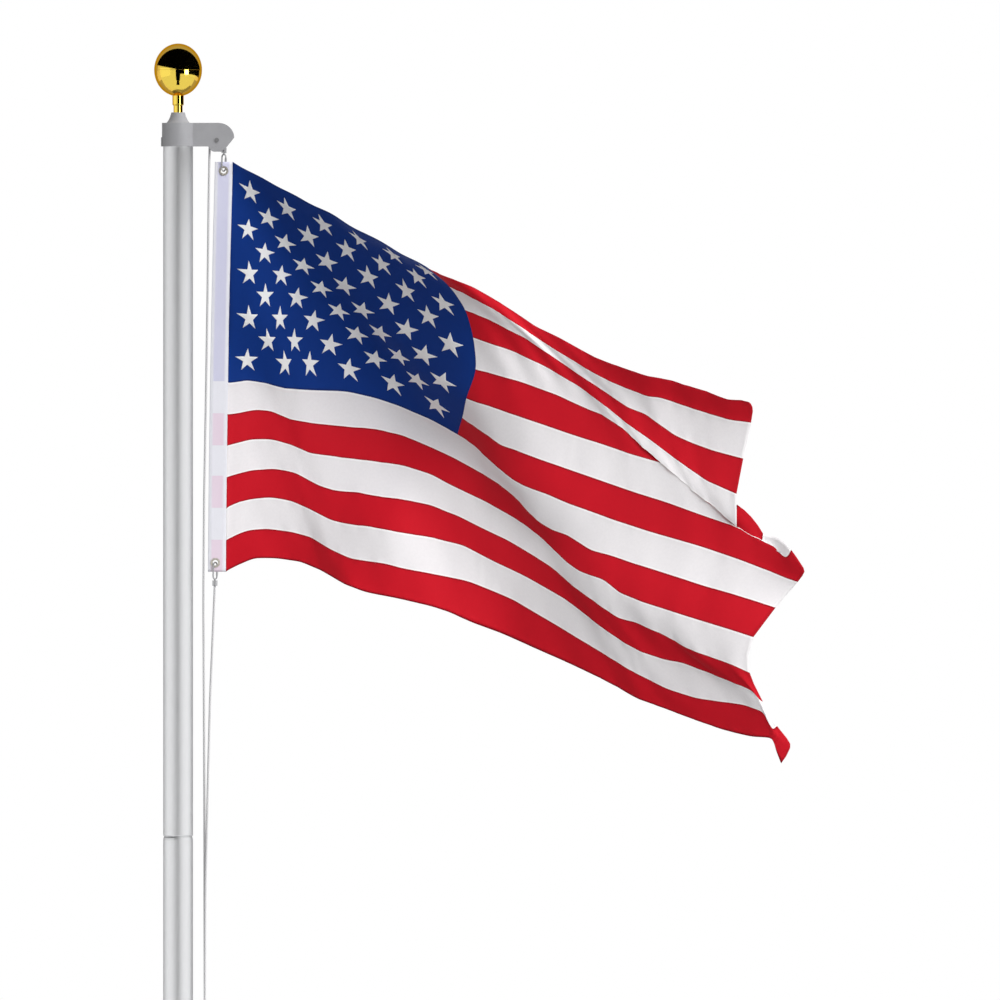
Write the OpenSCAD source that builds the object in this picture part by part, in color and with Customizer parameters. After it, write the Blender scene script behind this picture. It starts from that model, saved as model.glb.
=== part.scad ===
// Sectional flagpole with ball finial, truck and sheave, halyard and a hoisted flag.
// Millimetres, +Z up. The origin is the centre of the pole's butt at ground level.
// +X points from the pole towards the truck's arm and the flag.

/* [Pole] */
// Outside diameter of every tube section
pole_od = 66; // [56:1:72]
// Wall thickness of the tube
pole_wall = 2; // [1.5:0.1:4]
// Length of the bottom section from the ground to its joint
bottom_len = 1067; // [800:1:1524]
// Exposed length of each section above it
section_len = 1524; // [1400:1:1700]
// Length of the reduced spigot on top of a section
spigot_len = 180; // [100:5:250]
// Height of the rounded shoulder below a joint
shoulder_h = 9; // [5:0.5:20]
// Play between a spigot and the tube over it, per side
slip_gap = 0.3; // [0.1:0.05:0.5]
// Height of the plug that closes the butt
plug_h = 30; // [15:1:60]

/* [Truck] */
// Height of the collar
collar_h = 52; // [44:1:60]
// Wall of the collar around the pole
collar_wall = 2.4; // [1.8:0.1:5]
// Height of the cone on the collar
cone_h = 23; // [16:1:30]
// Radius of the cone at its foot
cone_r1 = 26; // [22:0.5:28]
// Radius of the cone at its top
cone_r2 = 15; // [12.5:0.5:18]
// Reach of the arm's tip from the pole axis
arm_reach = 124; // [118:1:135]
// Thickness of the arm, front to back
arm_w = 30; // [26:1:36]
// Width of the slot for the sheave
slot_w = 14; // [13:0.5:16]
// Depth of the lip below the collar
lip_h = 11.5; // [10:0.5:13]
// Height of the lug for the set screw
lug_h = 20; // [16:0.5:24]
// How far the lug stands out from the collar
lug_out = 2; // [1.8:0.1:4]
// Diameter of the set screw's head
screw_head_d = 10; // [8:0.5:12]
// Depth of the set screw's head in the lug
screw_sunk = 2.2; // [1.5:0.1:2.4]

/* [Sheave] */
// Distance of the sheave's axis from the pole axis
sheave_x = 85.5; // [84:0.5:87]
// Height of the sheave's axis above the collar's foot
sheave_up = 14; // [13:0.5:18]
// Radius of the rope's middle on the sheave
pitch_r = 15.5; // [14:0.5:17]
// Height of the flanges beyond the rope's middle
flange_h = 3.5; // [2:0.5:4]
// Width of the sheave
sheave_w = 10; // [8:0.5:11.5]
// Radius of the sheave's pin
pin_r = 3; // [2:0.5:4]
// Running clearance on the pin, per side
pin_fit = 0.05; // [0.02:0.01:0.1]

/* [Finial] */
// Width of the ball
ball_d = 106; // [80:1:130]
// Height of the ball
ball_h = 117; // [85:1:140]
// Thickness of the ball's shell
ball_shell = 2; // [1.5:0.1:4]
// Radius of the rod
rod_r = 10; // [8:0.5:12]
// Radius of the neck under the ball
neck_r = 12.5; // [12:0.5:16]
// Height of the rod that shows
rod_h = 15.5; // [8:0.5:25]
// Height of the neck
neck_h = 21; // [12:0.5:30]

/* [Halyard] */
// Diameter of the rope
rope_d = 5; // [4:0.5:6]
// Height of the cleat above the lowest joint
cleat_up = 263; // [223:5:433]
// Length of the cleat's horns, tip to tip
cleat_len = 150; // [100:5:200]
// Radius of the cleat's stem
stem_r = 9; // [7:0.5:12]
// Distance of the rope from the pole's wall at the cleat
rope_off = 25; // [22:0.5:30]

/* [Flag] */
// Length of the hoist edge
hoist_len = 906; // [860:1:930]
// Length of the fly, without the heading
fly_len = 1500; // [1350:5:1600]
// Width of the heading tape
heading_w = 41; // [38:1:46]
// Thickness of the cloth solids
cloth_t = 3; // [2:0.1:4]
// Drop of the heading's top below the collar's foot
flag_drop = 34; // [32:0.5:40]
// Outside diameter of a grommet
grommet_d = 21; // [19:0.5:24]
// Distance of the bottom grommet from the heading's free edge
grommet_side = 16; // [13:0.5:20]
// Radius of a grommet's hole
grommet_hole = 6; // [5.6:0.1:7]
// Gap between neighbouring cloth solids
seam_gap = 0.4; // [0.2:0.05:0.8]

/* [Snaps] */
// Radius of the snap's wire
wire_r = 1.6; // [1.2:0.1:1.8]
// Half the distance between the legs of a snap
bow_r = 6.4; // [6:0.1:7]
// Straight length of the legs
bow_len = 24; // [20:0.5:26]
// Radius of the swivel's barrel
barrel_r = 5.5; // [5.2:0.1:6]
// Height of the swivel's barrel
barrel_h = 12; // [11:0.5:13]

/* [Hidden] */
$fn = 64;

gap = 0.3;
pole_r = pole_od / 2;
bore_r = pole_r - pole_wall;
spigot_r = bore_r - slip_gap;
joint1 = bottom_len;
cleat_z = joint1 + cleat_up;
joint2 = joint1 + section_len;
joint3 = joint2 + section_len;
truck_z = joint3 + section_len;
collar_r = pole_r + gap + collar_wall;
roof = 5;
tube_top = truck_z + collar_h - roof - gap;
cone_z = truck_z + collar_h;
rod_z = cone_z + cone_h;
screw_z = truck_z + lug_h / 2;
sunk_r = collar_r + lug_out - screw_sunk;
thread_r = rod_r - 2;
thread_len = 20;
neck_z = rod_z + rod_h;
ball_z = neck_z + neck_h + ball_h / 2 - 1;
sheave_z = truck_z + sheave_up;
flange_r = pitch_r + flange_h;
rope_r = rope_d / 2;
head_r = pin_r + 2;
wrap_x = pole_r + rope_off;
wrap_r = stem_r + rope_r + gap;
steel = [0.78, 0.79, 0.8];
alu = [0.75, 0.76, 0.77];
grey = [0.58, 0.58, 0.6];
gold = [0.83, 0.64, 0.22];
white = [0.92, 0.92, 0.93];

// Flag frame: heading top, the heading's slanted edges and the two grommets.
flag_z = truck_z - flag_drop;
heading_x = 80;
heading_lean = 14;
grommet_in = 20;
top_g = [heading_x + heading_w / 2, flag_z - grommet_in];
bottom_g = [heading_x - heading_lean * (hoist_len - grommet_in) / hoist_len + grommet_side,
            flag_z - hoist_len + grommet_in];
lean = atan2(top_g[0] - bottom_g[0], top_g[1] - bottom_g[1]);

// Seam lines of the hanging flag, [right of the pole axis, depth, drop from the heading's top],
// at every tenth of the fly, for the seams listed in seam_rows.
seam_rows = [0, 2, 4, 7, 9, 11, 13];
drape = [
    [[240, -65, -65], [355, -130, -125], [475, -190, -190], [595, -225, -255], [715, -190, -315],
     [830, -155, -380], [945, -150, -440], [1065, -190, -480], [1175, -180, -515], [1270, -190, -545]],
    [[235, 5, -175], [375, -40, -240], [505, -90, -285], [640, -140, -325], [740, -145, -375],
     [850, -140, -445], [955, -145, -515], [1060, -145, -575], [1155, -140, -630], [1250, -155, -655]],
    [[225, -5, -285], [355, 35, -325], [500, -25, -395], [665, -100, -460], [775, -120, -490],
     [885, -130, -535], [985, -140, -590], [1070, -145, -665], [1155, -150, -740], [1235, -160, -800]],
    [[235, 25, -500], [370, 50, -505], [490, 60, -540], [620, 0, -600], [735, -100, -705],
     [880, -135, -760], [1015, -135, -810], [1155, -130, -850], [1270, -145, -890], [1370, -170, -930]],
    [[225, 45, -620], [360, 30, -650], [485, 15, -665], [600, -30, -715], [735, -60, -780],
     [845, -100, -875], [955, -135, -940], [1080, -155, -990], [1175, -160, -1020], [1270, -175, -1050]],
    [[225, 35, -745], [350, -5, -795], [475, -55, -815], [595, -45, -840], [725, -65, -895],
     [845, -90, -960], [955, -110, -1045], [1065, -120, -1095], [1175, -140, -1130], [1275, -175, -1170]],
    [[225, 5, -875], [350, -35, -920], [475, -75, -960], [600, -75, -990], [725, -55, -1045],
     [840, -70, -1100], [960, -80, -1155], [1085, -85, -1215], [1205, -140, -1255], [1335, -165, -1310]]
];
drape_fly = 1500;
drape_hoist = 906;

// Right edge of the heading at the seam k, and the drape point of column i on stored row r.
function edge_x(k) = heading_x + heading_w + seam_gap - heading_lean * k / 13;
function stored(r, i) = i == 0
    ? [edge_x(seam_rows[r]), 0, -hoist_len * seam_rows[r] / 13]
    : [edge_x(0) + (drape[r][i - 1][0] - 121) * fly_len / drape_fly, drape[r][i - 1][1],
       drape[r][i - 1][2] * hoist_len / drape_hoist];
function knot_u(r, i) = i < 0 ? 2 * stored(r, 0) - stored(r, 1)
    : i > 10 ? 2 * stored(r, 10) - stored(r, 9) : stored(r, i);
function curve(a, b, c, d, t) = 0.5 * (2 * b + (c - a) * t + (2 * a - 5 * b + 4 * c - d) * t * t
    + (3 * b - a - 3 * c + d) * t * t * t);
function row_at(r, u) = let (i = min(9, floor(u * 10)), t = u * 10 - i)
    curve(knot_u(r, i - 1), knot_u(r, i), knot_u(r, i + 1), knot_u(r, i + 2), t);
function knot_v(r, u) = r < 0 ? 2 * row_at(0, u) - row_at(1, u)
    : r > 6 ? 2 * row_at(6, u) - row_at(5, u) : row_at(r, u);
function row_place(k) = k <= 4 ? k / 2 : k <= 7 ? 2 + (k - 4) / 3 : 3 + (k - 7) / 2;
function cloth(u, k) = let (w = row_place(k), r = min(5, floor(w)), t = w - r)
    [0, 0, flag_z] + curve(knot_v(r - 1, u), knot_v(r, u), knot_v(r + 1, u), knot_v(r + 2, u), t);

// A patch of cloth between the fly fractions u0, u1 and the seams k0, k1.
module patch(u0, u1, k0, k1, n, m) {
    gk = seam_gap / 2 / (hoist_len / 13);
    gu = seam_gap / 2 / fly_len;
    a0 = u0 == 0 ? 0 : u0 + gu;
    a1 = u1 == 1 ? 1 : u1 - gu;
    b0 = k0 == 0 ? 0 : k0 + gk;
    b1 = k1 == 13 ? 13 : k1 - gk;
    grid = [for (i = [0:n]) for (j = [0:m]) cloth(a0 + (a1 - a0) * i / n, b0 + (b1 - b0) * j / m)];
    half = [0, cloth_t / 2, 0];
    f = (n + 1) * (m + 1);
    w = m + 1;
    front = [for (i = [0:n - 1]) for (j = [0:m - 1]) for (t = [0:1])
        t == 0 ? [i * w + j, (i + 1) * w + j, (i + 1) * w + j + 1]
               : [i * w + j, (i + 1) * w + j + 1, i * w + j + 1]];
    back = [for (q = front) [q[2] + f, q[1] + f, q[0] + f]];
    rims = [for (i = [0:n - 1]) for (t = [0:3])
        t == 0 ? [i * w, i * w + f, (i + 1) * w + f]
        : t == 1 ? [i * w, (i + 1) * w + f, (i + 1) * w]
        : t == 2 ? [i * w + m, (i + 1) * w + m, (i + 1) * w + m + f]
        : [i * w + m, (i + 1) * w + m + f, i * w + m + f]];
    ends = [for (j = [0:m - 1]) for (t = [0:3])
        t == 0 ? [j, j + 1, j + 1 + f]
        : t == 1 ? [j, j + 1 + f, j + f]
        : t == 2 ? [n * w + j + 1, n * w + j, n * w + j + f]
        : [n * w + j + 1, n * w + j + f, n * w + j + 1 + f]];
    polyhedron(points = concat([for (p = grid) p - half], [for (p = grid) p + half]),
               faces = concat(front, back, rims, ends));
}

// A round bar swept along a list of [point, turned] pairs; turned rings lie about the X axis.
function unit(v) = v / norm(v);
function tangent(path, i) = unit(path[min(len(path) - 1, i + 1)][0] - path[max(0, i - 1)][0]);
function ring(path, i, r, sides) =
    let (t = tangent(path, i),
         ref = path[i][1] ? [1, 0, 0] : [0, 1, 0],
         a = unit(cross(t, ref)),
         b = cross(t, a),
         off = path[i][1] ? 90 : 0)
    [for (s = [0:sides - 1]) path[i][0] + r * (cos(360 * s / sides + off) * a + sin(360 * s / sides + off) * b)];
module sweep(path, r, sides) {
    n = len(path);
    points = [for (i = [0:n - 1]) each ring(path, i, r, sides)];
    sides_f = [for (i = [0:n - 2]) for (s = [0:sides - 1]) for (t = [0:1])
        let (a = i * sides + s, b = i * sides + (s + 1) % sides)
        t == 0 ? [a, a + sides, b + sides] : [a, b + sides, b]];
    first = [for (s = [0:sides - 1]) s];
    last = [for (s = [0:sides - 1]) n * sides - 1 - s];
    polyhedron(points = points, faces = concat([first], sides_f, [last]));
}

// One tube section from z0 to its joint z1, with or without a spigot above.
module tube(z0, z1, spigot) {
    round_in = 1.2;
    outer = spigot
        ? [[pole_r - round_in, z0], [pole_r, z0 + round_in], [pole_r, z1 - shoulder_h],
           [pole_r - 0.3 * (pole_r - spigot_r), z1 - 0.45 * shoulder_h], [spigot_r, z1 - 0.05 * shoulder_h],
           [spigot_r, z1 + spigot_len - 4], [spigot_r - 1, z1 + spigot_len]]
        : [[pole_r - round_in, z0], [pole_r, z0 + round_in], [pole_r, z1]];
    inner = spigot
        ? [[spigot_r - pole_wall, z1 + spigot_len], [spigot_r - pole_wall, z1 - shoulder_h / 2],
           [bore_r, z1 - 2 * shoulder_h], [bore_r, z0]]
        : [[bore_r, z1], [bore_r, z0]];
    rotate_extrude() polygon(concat(outer, inner));
}

module butt_plug() {
    color([0.15, 0.15, 0.16]) cylinder(r = bore_r - gap, h = plug_h);
}

module bottom_section() {
    color(alu) tube(0, joint1, true);
}

module lower_middle_section() {
    color(alu) tube(joint1 + gap, joint2, true);
}

module upper_middle_section() {
    color(alu) tube(joint2 + gap, joint3, true);
}

module top_section() {
    color(alu) tube(joint3 + gap, tube_top, false);
}

// Outline of the arm seen from the front, from inside the collar to the tip.
module arm_outline() {
    top = truck_z + collar_h;
    tip_z = truck_z + 0.38 * collar_h;
    bend_x = arm_reach - 35;
    nose = [for (a = [90:-10:0]) [bend_x + 35 * cos(a), tip_z + (top - tip_z) * sin(a)]];
    polygon(concat([[0, truck_z], [0, top]], nose,
        [[sheave_x + 22, truck_z - 1], [sheave_x + 16, truck_z - 0.6 * lip_h], [sheave_x + 12, truck_z - lip_h],
         [sheave_x - 6, truck_z - lip_h], [sheave_x - 12, truck_z - 0.85 * lip_h],
         [sheave_x - 17.5, truck_z - 0.2 * lip_h], [sheave_x - 19.5, truck_z]]));
}

module truck() {
    color(grey) difference() {
        union() {
            translate([0, 0, truck_z]) cylinder(r = collar_r, h = collar_h);
            translate([0, 0, cone_z - 0.5]) rotate_extrude() polygon([
                [0, 0], [cone_r1, 0], [cone_r1 - 0.4 * (cone_r1 - cone_r2), 0.25 * cone_h],
                [cone_r2 + 0.25 * (cone_r1 - cone_r2), 0.6 * cone_h], [cone_r2, cone_h + 0.5], [0, cone_h + 0.5]]);
            translate([0, arm_w / 2, 0]) rotate([90, 0, 0]) linear_extrude(arm_w) arm_outline();
            translate([-collar_r - lug_out, -8, truck_z]) cube([8, 16, lug_h]);
        }
        translate([0, 0, truck_z - 20]) cylinder(r = pole_r + gap, h = collar_h - roof + 20);
        translate([0, 0, rod_z - thread_len - 2]) cylinder(r = thread_r + gap, h = thread_len + 3);
        translate([0, slot_w / 2, 0]) rotate([90, 0, 0]) linear_extrude(slot_w) {
            translate([sheave_x, sheave_z]) circle(r = flange_r + 3);
            translate([sheave_x - flange_r - 3, truck_z - 30]) square([2 * flange_r + 9, 30 + sheave_up]);
        }
        translate([sheave_x, 0, sheave_z]) rotate([90, 0, 0]) cylinder(r = pin_r + pin_fit, h = 100, center = true);
        translate([-pole_r - 20, 0, screw_z]) rotate([0, 90, 0]) cylinder(r = 2.5 + gap, h = 40);
        translate([-sunk_r - 20, 0, screw_z]) rotate([0, 90, 0]) cylinder(d = screw_head_d + 2 * gap, h = 20);
    }
}

module set_screw() {
    color(steel) translate([0, 0, screw_z]) rotate([0, -90, 0]) {
        translate([0, 0, sunk_r + gap]) cylinder(d = screw_head_d, h = screw_sunk - gap);
        translate([0, 0, pole_r + gap]) cylinder(r = 2.5, h = sunk_r - pole_r + 0.5);
    }
}

module sheave() {
    color(white) translate([sheave_x, sheave_w / 2, sheave_z]) rotate([90, 0, 0]) difference() {
        rotate_extrude() polygon([
            [0, 0], [flange_r, 0], [flange_r, 1.2], [pitch_r - 0.5 * rope_r, sheave_w / 2 - rope_r - 0.6],
            [pitch_r - rope_r - gap, sheave_w / 2 - 1.4], [pitch_r - rope_r - gap, sheave_w / 2 + 1.4],
            [pitch_r - 0.5 * rope_r, sheave_w / 2 + rope_r + 0.6], [flange_r, sheave_w - 1.2], [flange_r, sheave_w],
            [0, sheave_w]]);
        translate([0, 0, -1]) cylinder(r = pin_r + pin_fit, h = sheave_w + 2);
    }
}

module sheave_pin() {
    color(steel) translate([sheave_x, 0, sheave_z]) rotate([90, 0, 0]) {
        cylinder(r = pin_r, h = arm_w + 2 * gap + 1, center = true);
        for (s = [0, 1]) mirror([0, 0, s]) translate([0, 0, arm_w / 2 + gap]) cylinder(r = head_r, h = 1.5);
    }
}

module finial_rod() {
    color(gold) {
        translate([0, 0, rod_z - thread_len]) cylinder(r = thread_r, h = thread_len + 1);
        translate([0, 0, rod_z + gap]) cylinder(r = rod_r, h = rod_h - gap + 0.5);
        translate([0, 0, neck_z]) rotate_extrude() polygon([
            [0, 0], [neck_r - 1.5, 0], [neck_r, 2], [neck_r, neck_h + 5], [0, neck_h + 5]]);
    }
}

// Outline of half the ball; the lower half has an opening for the neck.
function oval(a, inset) = [(ball_d / 2 - inset) * cos(a), (ball_h / 2 - inset) * sin(a)];
module ball_half(a0, a1) {
    translate([0, 0, ball_z]) rotate_extrude() polygon(concat(
        [for (i = [0:12]) oval(a0 + (a1 - a0) * i / 12, 0)],
        [for (i = [12:-1:0]) oval(a0 + (a1 - a0) * i / 12, ball_shell)]));
}

module ball_lower_half() {
    open_a = acos((neck_r + gap) / (ball_d / 2 - ball_shell));
    color(gold) ball_half(-open_a, -0.25);
}

module ball_upper_half() {
    color(gold) ball_half(0.1, 90);
}

// Run of the halyard: top swivel, sheave, down to the cleat, up to the bottom swivel.
barrel_w = bow_len + 2 * bow_r + wire_r + 0.7;
top_end = [top_g[0] + sin(lean) * (barrel_w + barrel_h - 4), 0, top_g[1] + cos(lean) * (barrel_w + barrel_h - 4)];
low_end = [bottom_g[0] - sin(lean) * (barrel_w + barrel_h - 4), 0, bottom_g[1] - cos(lean) * (barrel_w + barrel_h - 4)];
left_x = sheave_x - pitch_r;
meet_z = truck_z - 1939;
function run_x(z) = lookup(truck_z - z, [
    [truck_z - cleat_z, wrap_x], [1889, 59], [1444, 58], [999, 56], [779, 57.5], [559, 61.5], [339, 65], [119, 67.5],
    [-sheave_up, left_x]]);
function back_x(z) = lookup(truck_z - z, [
    [truck_z - cleat_z, wrap_x], [1889, 59], [1664, 60], [1444, 65], [1224, 70.5], [truck_z - low_end[2], low_end[0]]]);
halyard_path = concat(
    [[top_end, false], [[top_end[0], 0, top_end[2] + 5], false]],
    [for (a = [0:18:180]) [[sheave_x + pitch_r * cos(a), 0, sheave_z + pitch_r * sin(a)], false]],
    [for (s = [1:12]) let (z = sheave_z - 60 - (sheave_z - 60 - meet_z) * s / 12) [[run_x(z), 4 * s / 12, z], false]],
    [for (s = [1:3]) let (z = meet_z + (cleat_z + 80 - meet_z) * s / 3) [[run_x(z), 4 + (wrap_r - 4) * s / 3, z], true]],
    [for (a = [0:-20:-180]) [[wrap_x, wrap_r * cos(a), cleat_z + wrap_r * sin(a)], true]],
    [for (s = [3:-1:0]) let (z = meet_z + (cleat_z + 80 - meet_z) * s / 3) [[back_x(z), -4 - (wrap_r - 4) * s / 3, z], true]],
    [for (s = [1:6]) let (z = meet_z + (low_end[2] - 15 - meet_z) * s / 6) [[back_x(z), -4 + 4 * s / 6, z], false]],
    [[low_end, false]]);

module halyard() {
    color(white) sweep(halyard_path, rope_r, 10);
}

module halyard_hitch() {
    color(white) for (s = [1:2]) translate([wrap_x - s * (rope_d + gap), 0, cleat_z]) rotate([0, 90, 0])
        rotate_extrude() translate([wrap_r, 0]) circle(r = rope_r, $fn = 24);
}

// Two-horned cleat on a round stem, held by two screws through its foot.
horn_x = wrap_x + rope_r + 2;
horn_t = 10;
module cleat() {
    color(alu) difference() {
        union() {
            translate([pole_r - 4, -11, cleat_z - 30]) cube([8, 22, 60]);
            translate([pole_r, 0, cleat_z]) rotate([0, 90, 0]) cylinder(r = stem_r, h = horn_x - pole_r + 2);
            translate([0, stem_r, 0]) rotate([90, 0, 0]) linear_extrude(2 * stem_r) polygon([
                [horn_x, cleat_z - 20], [horn_x, cleat_z + 20], [horn_x + 4, cleat_z + cleat_len / 2],
                [horn_x + horn_t, cleat_z + cleat_len / 2], [horn_x + horn_t, cleat_z - cleat_len / 2],
                [horn_x + 4, cleat_z - cleat_len / 2]]);
        }
        translate([0, 0, cleat_z - 100]) cylinder(r = pole_r + gap, h = 200);
        for (s = [-1, 1]) translate([0, 0, cleat_z + 21 * s]) rotate([0, 90, 0]) cylinder(r = 2 + gap, h = 2 * pole_r);
    }
}

module cleat_screws() {
    color(steel) for (s = [-1, 1]) translate([0, 0, cleat_z + 21 * s]) rotate([0, 90, 0]) {
        translate([0, 0, pole_r + gap]) cylinder(r = 2, h = 5);
        translate([0, 0, pole_r + 4 + gap]) cylinder(r = 4, h = 2.2);
    }
}

// Snap hooks: a closed bow through the grommet and a stem that turns in the swivel's barrel.
bow_turn = 50;
module on_top() {
    translate([top_g[0], 0, top_g[1]]) rotate([0, lean, 0]) children();
}
module on_bottom() {
    translate([bottom_g[0], 0, bottom_g[1]]) rotate([0, lean, 0]) mirror([0, 0, 1]) children();
}
module bow_end() {
    rotate([90, 0, 0]) rotate_extrude(angle = 180) translate([bow_r, 0]) circle(r = wire_r);
}
module snap_hook() {
    low = bow_r - 0.5;
    color(steel) {
        rotate([0, 0, bow_turn]) {
            translate([0, 0, low]) mirror([0, 0, 1]) bow_end();
            for (s = [-1, 1]) translate([s * bow_r, 0, low - 0.6]) cylinder(r = wire_r + 0.2, h = bow_len + 1.2);
            translate([bow_r, 0, low + 6]) cylinder(r = wire_r + 0.8, h = bow_len - 8);
            translate([0, 0, low + bow_len]) bow_end();
        }
        translate([0, 0, low + bow_len + bow_r - 1]) cylinder(r = 2, h = barrel_w + 5 - low - bow_len - bow_r);
        translate([0, 0, barrel_w + 3.4]) cylinder(r = 3.4, h = 1.8);
    }
}
module swivel() {
    color(steel) translate([0, 0, barrel_w]) difference() {
        cylinder(r = barrel_r, h = barrel_h);
        translate([0, 0, -1]) cylinder(r = 2 + pin_fit, h = 5);
        translate([0, 0, 3]) cylinder(r = 3.8, h = 3);
        translate([0, 0, 5]) cylinder(r = rope_r + gap, h = barrel_h);
    }
}

module top_swivel() {
    on_top() swivel();
}

module bottom_swivel() {
    on_bottom() swivel();
}

module top_snap_hook() {
    on_top() snap_hook();
}

module bottom_snap_hook() {
    on_bottom() snap_hook();
}

module flag_canton() {
    color([0.06, 0.13, 0.42]) patch(0, 0.4, 0, 7, 16, 21);
}

module flag_red_stripes() {
    color([0.74, 0.06, 0.14]) {
        for (k = [0, 2, 4, 6]) patch(0.4, 1, k, k + 1, 24, 3);
        for (k = [8, 10, 12]) patch(0, 1, k, k + 1, 40, 3);
    }
}

module flag_white_stripes() {
    color(white) {
        for (k = [1, 3, 5]) patch(0.4, 1, k, k + 1, 24, 3);
        for (k = [7, 9, 11]) patch(0, 1, k, k + 1, 40, 3);
    }
}

barrel_hole = grommet_hole + 1;
module flag_heading() {
    color(white) difference() {
        translate([0, cloth_t / 2, 0]) rotate([90, 0, 0]) linear_extrude(cloth_t) polygon([
            [heading_x, flag_z], [heading_x + heading_w, flag_z],
            [heading_x + heading_w - heading_lean, flag_z - hoist_len], [heading_x - heading_lean, flag_z - hoist_len]]);
        for (g = [top_g, bottom_g]) translate([g[0], 0, g[1]]) rotate([90, 0, 0])
            cylinder(r = barrel_hole + gap, h = 20, center = true);
    }
}

// A pressed eyelet: a short barrel through the tape with a flange on each face.
module grommet(g) {
    color(steel) translate([g[0], 0, g[1]]) rotate([90, 0, 0]) difference() {
        union() {
            cylinder(r = barrel_hole, h = cloth_t + 2 * gap + 0.4, center = true);
            for (s = [0, 1]) mirror([0, 0, s]) translate([0, 0, cloth_t / 2 + gap]) cylinder(d = grommet_d, h = 0.9);
        }
        cylinder(r = grommet_hole, h = 20, center = true);
    }
}

module top_grommet() {
    grommet(top_g);
}

module bottom_grommet() {
    grommet(bottom_g);
}

butt_plug();
bottom_section();
lower_middle_section();
upper_middle_section();
top_section();
truck();
set_screw();
sheave();
sheave_pin();
finial_rod();
ball_lower_half();
ball_upper_half();
halyard();
halyard_hitch();
cleat();
cleat_screws();
top_swivel();
bottom_swivel();
top_snap_hook();
bottom_snap_hook();
flag_canton();
flag_red_stripes();
flag_white_stripes();
flag_heading();
top_grommet();
bottom_grommet();
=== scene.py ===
"""Looks of a sectional flagpole with a hoisted flag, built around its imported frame."""

import logging
import math
from dataclasses import dataclass, field
from enum import Enum

import bpy
import numpy as np
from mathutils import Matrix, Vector

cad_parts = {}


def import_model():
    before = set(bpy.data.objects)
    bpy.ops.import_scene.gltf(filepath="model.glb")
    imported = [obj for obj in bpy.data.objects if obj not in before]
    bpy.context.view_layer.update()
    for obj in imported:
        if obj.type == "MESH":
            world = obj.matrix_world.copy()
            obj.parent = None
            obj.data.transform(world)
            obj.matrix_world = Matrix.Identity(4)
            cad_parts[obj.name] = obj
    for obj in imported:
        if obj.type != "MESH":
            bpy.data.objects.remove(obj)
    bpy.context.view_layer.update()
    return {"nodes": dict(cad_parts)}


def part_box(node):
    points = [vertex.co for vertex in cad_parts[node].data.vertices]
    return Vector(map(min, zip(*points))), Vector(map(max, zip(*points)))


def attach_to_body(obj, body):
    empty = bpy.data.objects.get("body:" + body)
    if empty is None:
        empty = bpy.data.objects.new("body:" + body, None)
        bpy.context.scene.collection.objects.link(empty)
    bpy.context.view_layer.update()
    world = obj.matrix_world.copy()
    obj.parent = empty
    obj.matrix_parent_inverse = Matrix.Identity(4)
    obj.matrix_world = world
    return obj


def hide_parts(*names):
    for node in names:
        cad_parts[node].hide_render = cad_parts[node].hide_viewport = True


logging.basicConfig(level=logging.INFO, format="%(message)s")
LOG = logging.getLogger("flagpole")

MM = 0.001
Pair = tuple[float, float]
Triple = tuple[float, float, float]
Colour = Triple
Cut = tuple[Triple, Triple]

# Differences too small to matter, in fractions of the fly and in lengths of a normal.
SAME_PLACE = 1e-9
NO_LENGTH = 1e-12

# The hoist and its tape in metres. The tape leans to the left on its way down, and halfway it is bowed
# by a quarter of HOIST_BOW.
HOIST = 0.906
HOIST_LEAN = 0.0155
HOIST_BOW = 0.010
TAPE_WIDTH = 0.0395


class Body(Enum):
    """The frame's bodies that pieces ride on."""

    MAST = "mast"
    FLAG = "flag"


def deselect_all() -> None:
    """Leaves nothing selected, so that an operator acts on the new piece alone."""
    if bpy.context.object and bpy.context.object.mode != "OBJECT":
        bpy.ops.object.mode_set(mode="OBJECT")
    bpy.ops.object.select_all(action="DESELECT")


def make_active(piece: bpy.types.Object) -> None:
    """Selects one piece and makes it the active object.

    Args:
        piece: The piece.
    """
    deselect_all()
    piece.select_set(True)
    bpy.context.view_layer.objects.active = piece


def apply_modifiers(piece: bpy.types.Object) -> None:
    """Applies every modifier of a piece in order.

    Args:
        piece: The piece.
    """
    make_active(piece)
    for modifier in list(piece.modifiers):
        bpy.ops.object.modifier_apply(modifier=modifier.name)


def mesh_piece(name: str, points: np.ndarray, faces: list[tuple[int, ...]]) -> bpy.types.Object:
    """Makes a smooth-shaded mesh object from points in metres.

    Args:
        name: The piece's name.
        points: One row of three coordinates for each point.
        faces: Point numbers of each face.

    Returns:
        The new object, linked to the scene.
    """
    mesh = bpy.data.meshes.new(name)
    mesh.from_pydata([tuple(map(float, p)) for p in points], [], faces)
    mesh.polygons.foreach_set("use_smooth", [True] * len(mesh.polygons))
    piece = bpy.data.objects.new(name, mesh)
    bpy.context.scene.collection.objects.link(piece)
    return piece


def smoothed(values: np.ndarray, sigma: float, axis: int) -> np.ndarray:
    """Blurs a grid along one axis and keeps its two ends where they are.

    Args:
        values: The grid.
        sigma: Width of the blur in grid steps.
        axis: The axis to blur along.

    Returns:
        A grid of the same shape.
    """
    reach = max(1, int(3 * sigma))
    kernel = np.exp(-0.5 * (np.arange(-reach, reach + 1) / sigma) ** 2)
    kernel /= kernel.sum()
    rows = np.moveaxis(values, axis, 0)
    before = 2 * rows[:1] - rows[reach:0:-1]
    after = 2 * rows[-1:] - rows[-2:-reach - 2:-1]
    padded = np.concatenate([before, rows, after])
    out = sum(weight * padded[i:i + len(rows)] for i, weight in enumerate(kernel))
    return np.moveaxis(out, 0, axis)


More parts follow.
